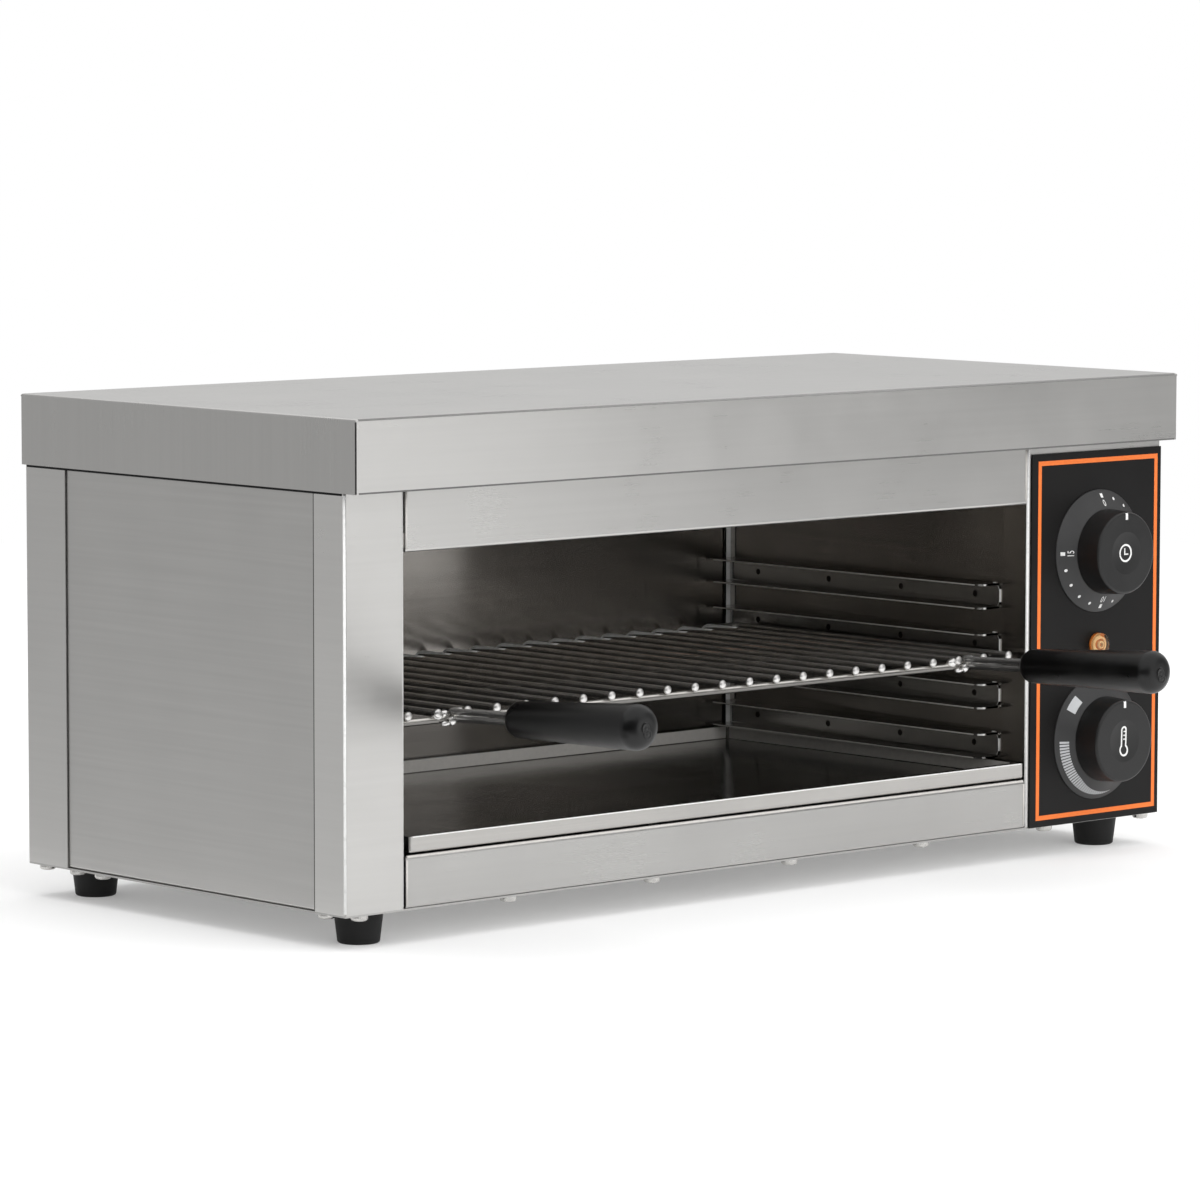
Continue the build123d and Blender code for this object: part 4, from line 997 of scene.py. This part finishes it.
# Painted shadow: the black strips under the lid's edge stand in for the shade in the gap between lid and
# walls
seams, gap_shadows = [], []
for side in (-1.0, 1.0):
    for low_y, high_y in ((seam_front, seam_front + FRONT_SEAM), (seam_rear - REAR_SEAM, seam_rear)):
        near, far = sorted((side * panel_x, side * (panel_x + SEAM_PROUD)))
        seams.append(block((near, low_y, wall_bottom + SHEET), (far, high_y, lid_low.z - SHADOW_DROP)))
    for wall_x, low_y, high_y in (
        (side_high, front_y + 2 * SHEET, seam_front),
        (panel_x, seam_front, seam_rear),
        (side_high, seam_rear, rear_y - 2 * SHEET),
    ):
        near, far = sorted((side * wall_x, side * skirt_x))
        gap_shadows.append(block((near, low_y, lid_low.z - SHADOW_DROP), (far, high_y, lid_low.z + SHADOW_TUCK)))
gap_shadows.append(
    block(
        (2 * SHEET - side_high, rear_y, lid_low.z - SHADOW_DROP),
        (side_high - 2 * SHEET, lid_high.y - SHEET - SMALL_GAP, lid_low.z + SHADOW_TUCK),
    )
)
piece("panel_seams", joined(seams), "joint", "cabinet")
piece("lid_gap_shadow", joined(gap_shadows), "shadow_black", "cabinet")

BEND = 1.5
FOLD = 1.3
FOLD_BASE = 0.03
FOLD_RISE = 0.35
FOLD_STEPS = 6


def fold_strip(x0, x1, z0, z1, plane_y):
    """Upright rounded strip, as the bend at the end of a folded sheet."""
    def place(u, v, h):
        round_share = math.sqrt(max(0.0, 1.0 - u * u))
        return ((x0 + x1) / 2 + u * (x1 - x0) / 2, plane_y - h * (FOLD_BASE + FOLD_RISE * round_share), v)

    return thicken(grid(steps(-1.0, 1.0, FOLD_STEPS), [z0, z1]), place, 1.0)


# Painted highlight: pale strips on the bends at each end of the fascia and the lower rail
folds = []
for node, bottom_z, top_z in (
    ("upper_fascia", corners("upper_fascia")[0].z + BEND, lid_low.z),
    ("lower_rail", wall_bottom + BEND, corners("lower_rail")[1].z - BEND),
):
    low, high = corners(node)
    folds.append(fold_strip(low.x, low.x + FOLD, bottom_z, top_z, front_y))
    folds.append(fold_strip(high.x - FOLD, high.x, bottom_z, top_z, front_y))
piece("end_fold_highlights", joined(folds), "pale", "cabinet", smooth=True)

# Painted highlights down the two front folds of the left post and the left fold of the column
LINE_PROUD = 0.04
LINE_FROM, LINE_TO, LINE_STEPS = 12.0, 70.0, 6
LIP_LINE = 0.7
LIP_END = 2.0


def fold_line(corner_x, toward, z0, z1):
    """Narrow sleeve on an upright front fold: toward is 1 where the sheet turns back on the left."""
    def place(u, v, h):
        turn = math.radians(u)
        reach = BEND + h
        x = corner_x + toward * (BEND - reach * math.cos(turn))
        return (x, front_y + BEND - reach * math.sin(turn), v)

    angles = steps(LINE_FROM, LINE_TO, LINE_STEPS)
    return thicken(grid(angles if toward > 0 else angles[::-1], [z0, z1]), place, LINE_PROUD)


post_low, post_high = corners("front_left_post")
fold_top = lid_low.z - SHEET
highlight_lines = [
    fold_line(post_low.x, 1.0, wall_bottom + SHEET, fold_top),
    fold_line(post_high.x, -1.0, wall_bottom + SHEET, fold_top),
    fold_line(corners("control_column")[0].x, 1.0, wall_bottom + SHEET, fold_top),
]
piece("fold_highlights", joined(highlight_lines), "bright", "cabinet", smooth=True)

# Painted shade along the front of the lid: grey lines in its top fold and on its lower edge
CREASE_FROM, CREASE_TO, CREASE_STEPS = 15.0, 65.0, 5
LOWER_LINE = 0.9


def lid_crease(x, turn, height):
    """Point on the lid's top fold at the front."""
    turn = math.radians(turn)
    reach = BEND + height
    return (x, lid_low.y + BEND - reach * math.cos(turn), lid_high.z - BEND + reach * math.sin(turn))


line_x = (lid_low.x + LIP_END, lid_high.x - LIP_END)
fold_shade = thicken(grid(list(line_x), steps(CREASE_FROM, CREASE_TO, CREASE_STEPS)), lid_crease, LINE_PROUD)
piece("lid_top_fold_shade", fold_shade, "fold_shade", "cabinet", smooth=True)
lower_shade_line = block(
    (line_x[0], lid_low.y - LINE_PROUD, lid_low.z),
    (line_x[1], lid_low.y + LINE_PROUD, lid_low.z + LOWER_LINE),
)
piece("lid_lower_shade", lower_shade_line, "under_shade", "cabinet")

tray_low, tray_high = corners("crumb_tray")
# Painted highlight along the top front edge of the tray's lip
lip_highlight = block(
    (tray_low.x + LIP_END, tray_low.y - LINE_PROUD, tray_high.z - LIP_LINE),
    (tray_high.x - LIP_END, tray_low.y + LIP_LINE, tray_high.z + LINE_PROUD),
)
piece("tray_lip_highlight", lip_highlight, "bright", "tray")

# Painted sheen: lighter ink on the inner faces of the tray's upstands
TRAY_SHEET = 0.8
SHEEN = 0.06
SHEEN_MARGIN = 0.4
SHEEN_FRONT = 10.0
SHEEN_END = 1.5
left, right = tray_low.x + TRAY_SHEET, tray_high.x - TRAY_SHEET
front, back = tray_low.y + SHEEN_FRONT, tray_high.y - TRAY_SHEET
bottom, top = tray_low.z + TRAY_SHEET + SHEEN_MARGIN, tray_high.z - SHEEN_MARGIN
upstands = [
    block((left + SHEEN_END, back - SHEEN, bottom), (right - SHEEN_END, back, top)),
    block((left, front, bottom), (left + SHEEN, back - SHEEN_END, top)),
    block((right - SHEEN, front, bottom), (right, back - SHEEN_END, top)),
]
piece("tray_upstand_sheen", joined(upstands), "upstand", "tray")

# Painted highlight on the top edge of the lower rail, under the tray
RAIL_LINE_HALF = 0.7
RAIL_LINE_DEPTH = 1.2
rail_low, rail_high = corners("lower_rail")
rail_highlight = block(
    (rail_low.x + SHEET, front_y + SMALL_GAP, rail_high.z - RAIL_LINE_HALF),
    (rail_high.x - SHEET, front_y + RAIL_LINE_DEPTH, rail_high.z + RAIL_LINE_HALF),
)
piece("rail_top_highlight", rail_highlight, "pale", "cabinet")

# Upright strips in the rear corners of the grill space: painted highlights, with a painted shadow as a
# dark gap beside each
LINER_SHEET = 0.8
STRIP_WIDTH = 3.4
STRIP_PROUD = 0.5
GAP_WIDTH = 1.3
GAP_PROUD = 0.12
strip_bottom, strip_top = tray_high.z + SHEET, corners("cavity_ceiling")[0].z - SHEET
strips, gaps = [], []
for wall, inward in (("cavity_left_wall", 1.0), ("cavity_right_wall", -1.0)):
    low, high = corners(wall)
    wall_x = low.x + LINER_SHEET if inward > 0 else high.x - LINER_SHEET
    flange_y = high.y - LINER_SHEET
    near, far = sorted((wall_x + inward * SMALL_GAP, wall_x + inward * STRIP_WIDTH))
    strips.append(block((near, flange_y - STRIP_PROUD, strip_bottom), (far, flange_y, strip_top)))
    near, far = sorted((wall_x + inward * STRIP_WIDTH, wall_x + inward * (STRIP_WIDTH + GAP_WIDTH)))
    gaps.append(block((near, flange_y - GAP_PROUD, strip_bottom), (far, flange_y, strip_top)))
piece("cavity_corner_highlights", joined(strips), "bright", "cabinet")
piece("cavity_corner_gap_shadows", joined(gaps), "shadow_black", "cabinet")

# Painted highlights on the edges of each runner: round its front end, and along its two floors
EDGE_PROUD = 0.25
EDGE_SHORT = 1.0
CORNER_STEPS = 6


def rounded_edge(web, low, high):
    """Strip round the front edge of a runner's web, which has rounded corners."""
    path = []
    for middle_z, start in ((low.z + RUNNER_CORNER, 0.0), (high.z - RUNNER_CORNER, math.pi / 2)):
        for turn in steps(start, start + math.pi / 2, CORNER_STEPS):
            path.append((low.y + RUNNER_CORNER, middle_z, math.sin(turn), -math.cos(turn)))

    def place(u, v, h):
        middle_y, middle_z, out_y, out_z = path[round(v)]
        reach = RUNNER_CORNER + h
        return (web + u * RUNNER_SHEET, middle_y - reach * out_y, middle_z + reach * out_z)

    return thicken(grid([0.0, 1.0], list(range(len(path)))), place, EDGE_PROUD)


front_edges, long_edges = [], []
for side_name, inward in SIDES:
    for level in LEVELS:
        low, high = corners(f"{side_name}_runner_{level}")
        web = low.x if inward > 0 else high.x - RUNNER_SHEET
        tip = high.x - RUNNER_SHEET if inward > 0 else low.x
        front_edges.append(rounded_edge(web, low, high))
        for floor_z in (low.z, high.z - RUNNER_SHEET):
            near = (tip - EDGE_PROUD, low.y + RUNNER_CORNER, floor_z + EDGE_PROUD)
            top_z = floor_z + RUNNER_SHEET - EDGE_PROUD
            far = (tip + RUNNER_SHEET + EDGE_PROUD, high.y - EDGE_SHORT, top_z)
            long_edges.append(block(near, far))
piece("runner_front_highlights", joined(front_edges), "bright", "cabinet")
piece("runner_edge_highlights", joined(long_edges), "pale", "cabinet")

# Floor, light and camera, in metres
FLOOR_HALF = 9.0
FLOOR_GLOW = 0.21
FLOOR_WHITE = 0.8
FADE_NEAR = 0.9
FADE_FAR = 2.2
WORLD_FILL = 0.62


def view_rays(tree):
    """1 for camera, glossy and transmission rays, 0 for the others."""
    path = add_node(tree, "LightPath")
    total = path.outputs["Is Camera Ray"]
    for name in ("Is Glossy Ray", "Is Transmission Ray"):
        more = add_node(tree, "Math", {0: total, 1: path.outputs[name]}, operation="MAXIMUM")
        total = more.outputs["Value"]
    return total


def stage_plane(name, half_width, half_height):
    """Flat stage object in its own XY plane, and the empty node tree of its material."""
    mesh = bpy.data.meshes.new(name)
    w, h = half_width, half_height
    mesh.from_pydata([(-w, -h, 0), (w, -h, 0), (w, h, 0), (-w, h, 0)], [], [(0, 1, 2, 3)])
    obj = new_object(name, mesh)
    mat = bpy.data.materials.new(name + "_finish")
    mat.use_nodes = True
    mat.node_tree.nodes.clear()
    mesh.materials.append(mat)
    return obj, mat.node_tree


def make_floor():
    """Pale floor: white to the camera far off, with the object's shadow near it."""
    tree = stage_plane("studio_floor", FLOOR_HALF, FLOOR_HALF)[1]
    diffuse = add_node(tree, "BsdfDiffuse", {"Color": (FLOOR_WHITE, FLOOR_WHITE, FLOOR_WHITE, 1.0)})
    glow = add_node(tree, "Emission", {"Strength": FLOOR_GLOW})
    white = add_node(tree, "Emission")
    both = add_node(tree, "AddShader", {0: diffuse.outputs[0], 1: glow.outputs[0]})
    point = add_node(tree, "NewGeometry").outputs["Position"]
    away = add_node(tree, "VectorMath", {0: point}, operation="LENGTH").outputs["Value"]
    fade = add_node(tree, "MapRange", {"Value": away, "From Min": FADE_NEAR, "From Max": FADE_FAR})
    seen = add_node(
        tree, "MixShader", {0: fade.outputs["Result"], 1: both.outputs[0], 2: white.outputs[0]}
    )
    final = add_node(
        tree, "MixShader", {0: view_rays(tree), 1: diffuse.outputs[0], 2: seen.outputs[0]}
    )
    add_node(tree, "OutputMaterial", {"Surface": final.outputs[0]})


def make_world():
    """White to the camera and in reflections, softer as light."""
    world = bpy.data.worlds.new("studio_world")
    bpy.context.scene.world = world
    world.use_nodes = True
    tree = world.node_tree
    tree.nodes.clear()
    inputs = {0: view_rays(tree)}
    for socket, strength in ((1, WORLD_FILL), (2, 1.0)):
        background = add_node(tree, "Background", {"Color": (1.0, 1.0, 1.0, 1.0), "Strength": strength})
        inputs[socket] = background.outputs[0]
    mix = add_node(tree, "MixShader", inputs)
    add_node(tree, "OutputWorld", {"Surface": mix.outputs[0]})


def make_card(name, center, facing, width, height, level):
    """Grey studio card that only reflections see."""
    card, tree = stage_plane(name, width / 2, height / 2)
    turn = Vector(facing).to_track_quat("Z", "Y").to_matrix().to_4x4()
    card.matrix_world = Matrix.Translation(center) @ turn
    card.visible_camera = False
    card.visible_diffuse = False
    card.visible_shadow = False
    glow = add_node(tree, "Emission", {"Color": (level, level, level, 1.0)})
    add_node(tree, "OutputMaterial", {"Surface": glow.outputs[0]})


def make_sun(name, toward, strength, angle):
    """Soft lamp that shines along toward."""
    lamp = bpy.data.lights.new(name, "SUN")
    lamp.energy = strength
    lamp.angle = math.radians(angle)
    obj = new_object(name, lamp)
    obj.rotation_mode = "QUATERNION"
    obj.rotation_quaternion = Vector(toward).to_track_quat("-Z", "Y")
    obj.visible_glossy = False


make_floor()
make_world()
# Each sun's direction, strength and angle in degrees
make_sun("soft_overhead", (0.0, 0.05, -1.0), 1.35, 62.0)
make_sun("soft_front", (-0.35, 0.75, -0.55), 1.0, 60.0)
make_sun("soft_low", (0.2, 0.95, -0.15), 0.9, 40.0)
# Each card's place, facing, width, height and grey
make_card("card_left", (-0.78, 0.58, 0.5), (0.67, -0.74, 0.0), 2.2, 1.0, 0.45)
make_card("card_left_low", (-0.74, 0.35, 0.003), (0.0, 0.0, 1.0), 0.8, 1.3, 0.56)
make_card("card_back", (2.4, 2.9, 1.0), (-0.67, -0.74, 0.0), 5.0, 2.2, 0.62)
make_card("card_right", (1.66, -0.60, 0.5), (-0.67, 0.74, 0.0), 2.0, 1.0, 0.36)
make_card("card_camera", (-0.42, -0.52, 0.17), (0.67, 0.74, 0.0), 1.3, 0.38, 0.03)


def make_camera():
    """Camera at the photograph's place and angle."""
    azimuth, elevation = math.radians(CAMERA_AZIMUTH), math.radians(CAMERA_ELEVATION)
    level = math.cos(elevation)
    forward = Vector((math.sin(azimuth) * level, math.cos(azimuth) * level, -math.sin(elevation)))
    right = forward.cross(Vector((0.0, 0.0, 1.0))).normalized()
    up = right.cross(forward)
    roll = math.radians(CAMERA_ROLL)
    side = right * math.cos(roll) + up * math.sin(roll)
    over = up * math.cos(roll) - right * math.sin(roll)
    data = bpy.data.cameras.new("photo_camera")
    data.lens = CAMERA_LENS
    data.sensor_width = CAMERA_SENSOR
    data.clip_end = CAMERA_REACH
    camera = new_object("photo_camera", data)
    turn = Matrix((side, over, -forward)).transposed().to_4x4()
    place = Vector((CAMERA_X, front_y - CAMERA_AWAY, CAMERA_Z)) * MM
    camera.matrix_world = Matrix.Translation(place) @ turn
    bpy.context.scene.camera = camera


make_camera()
bpy.context.scene.view_settings.view_transform = "Standard"
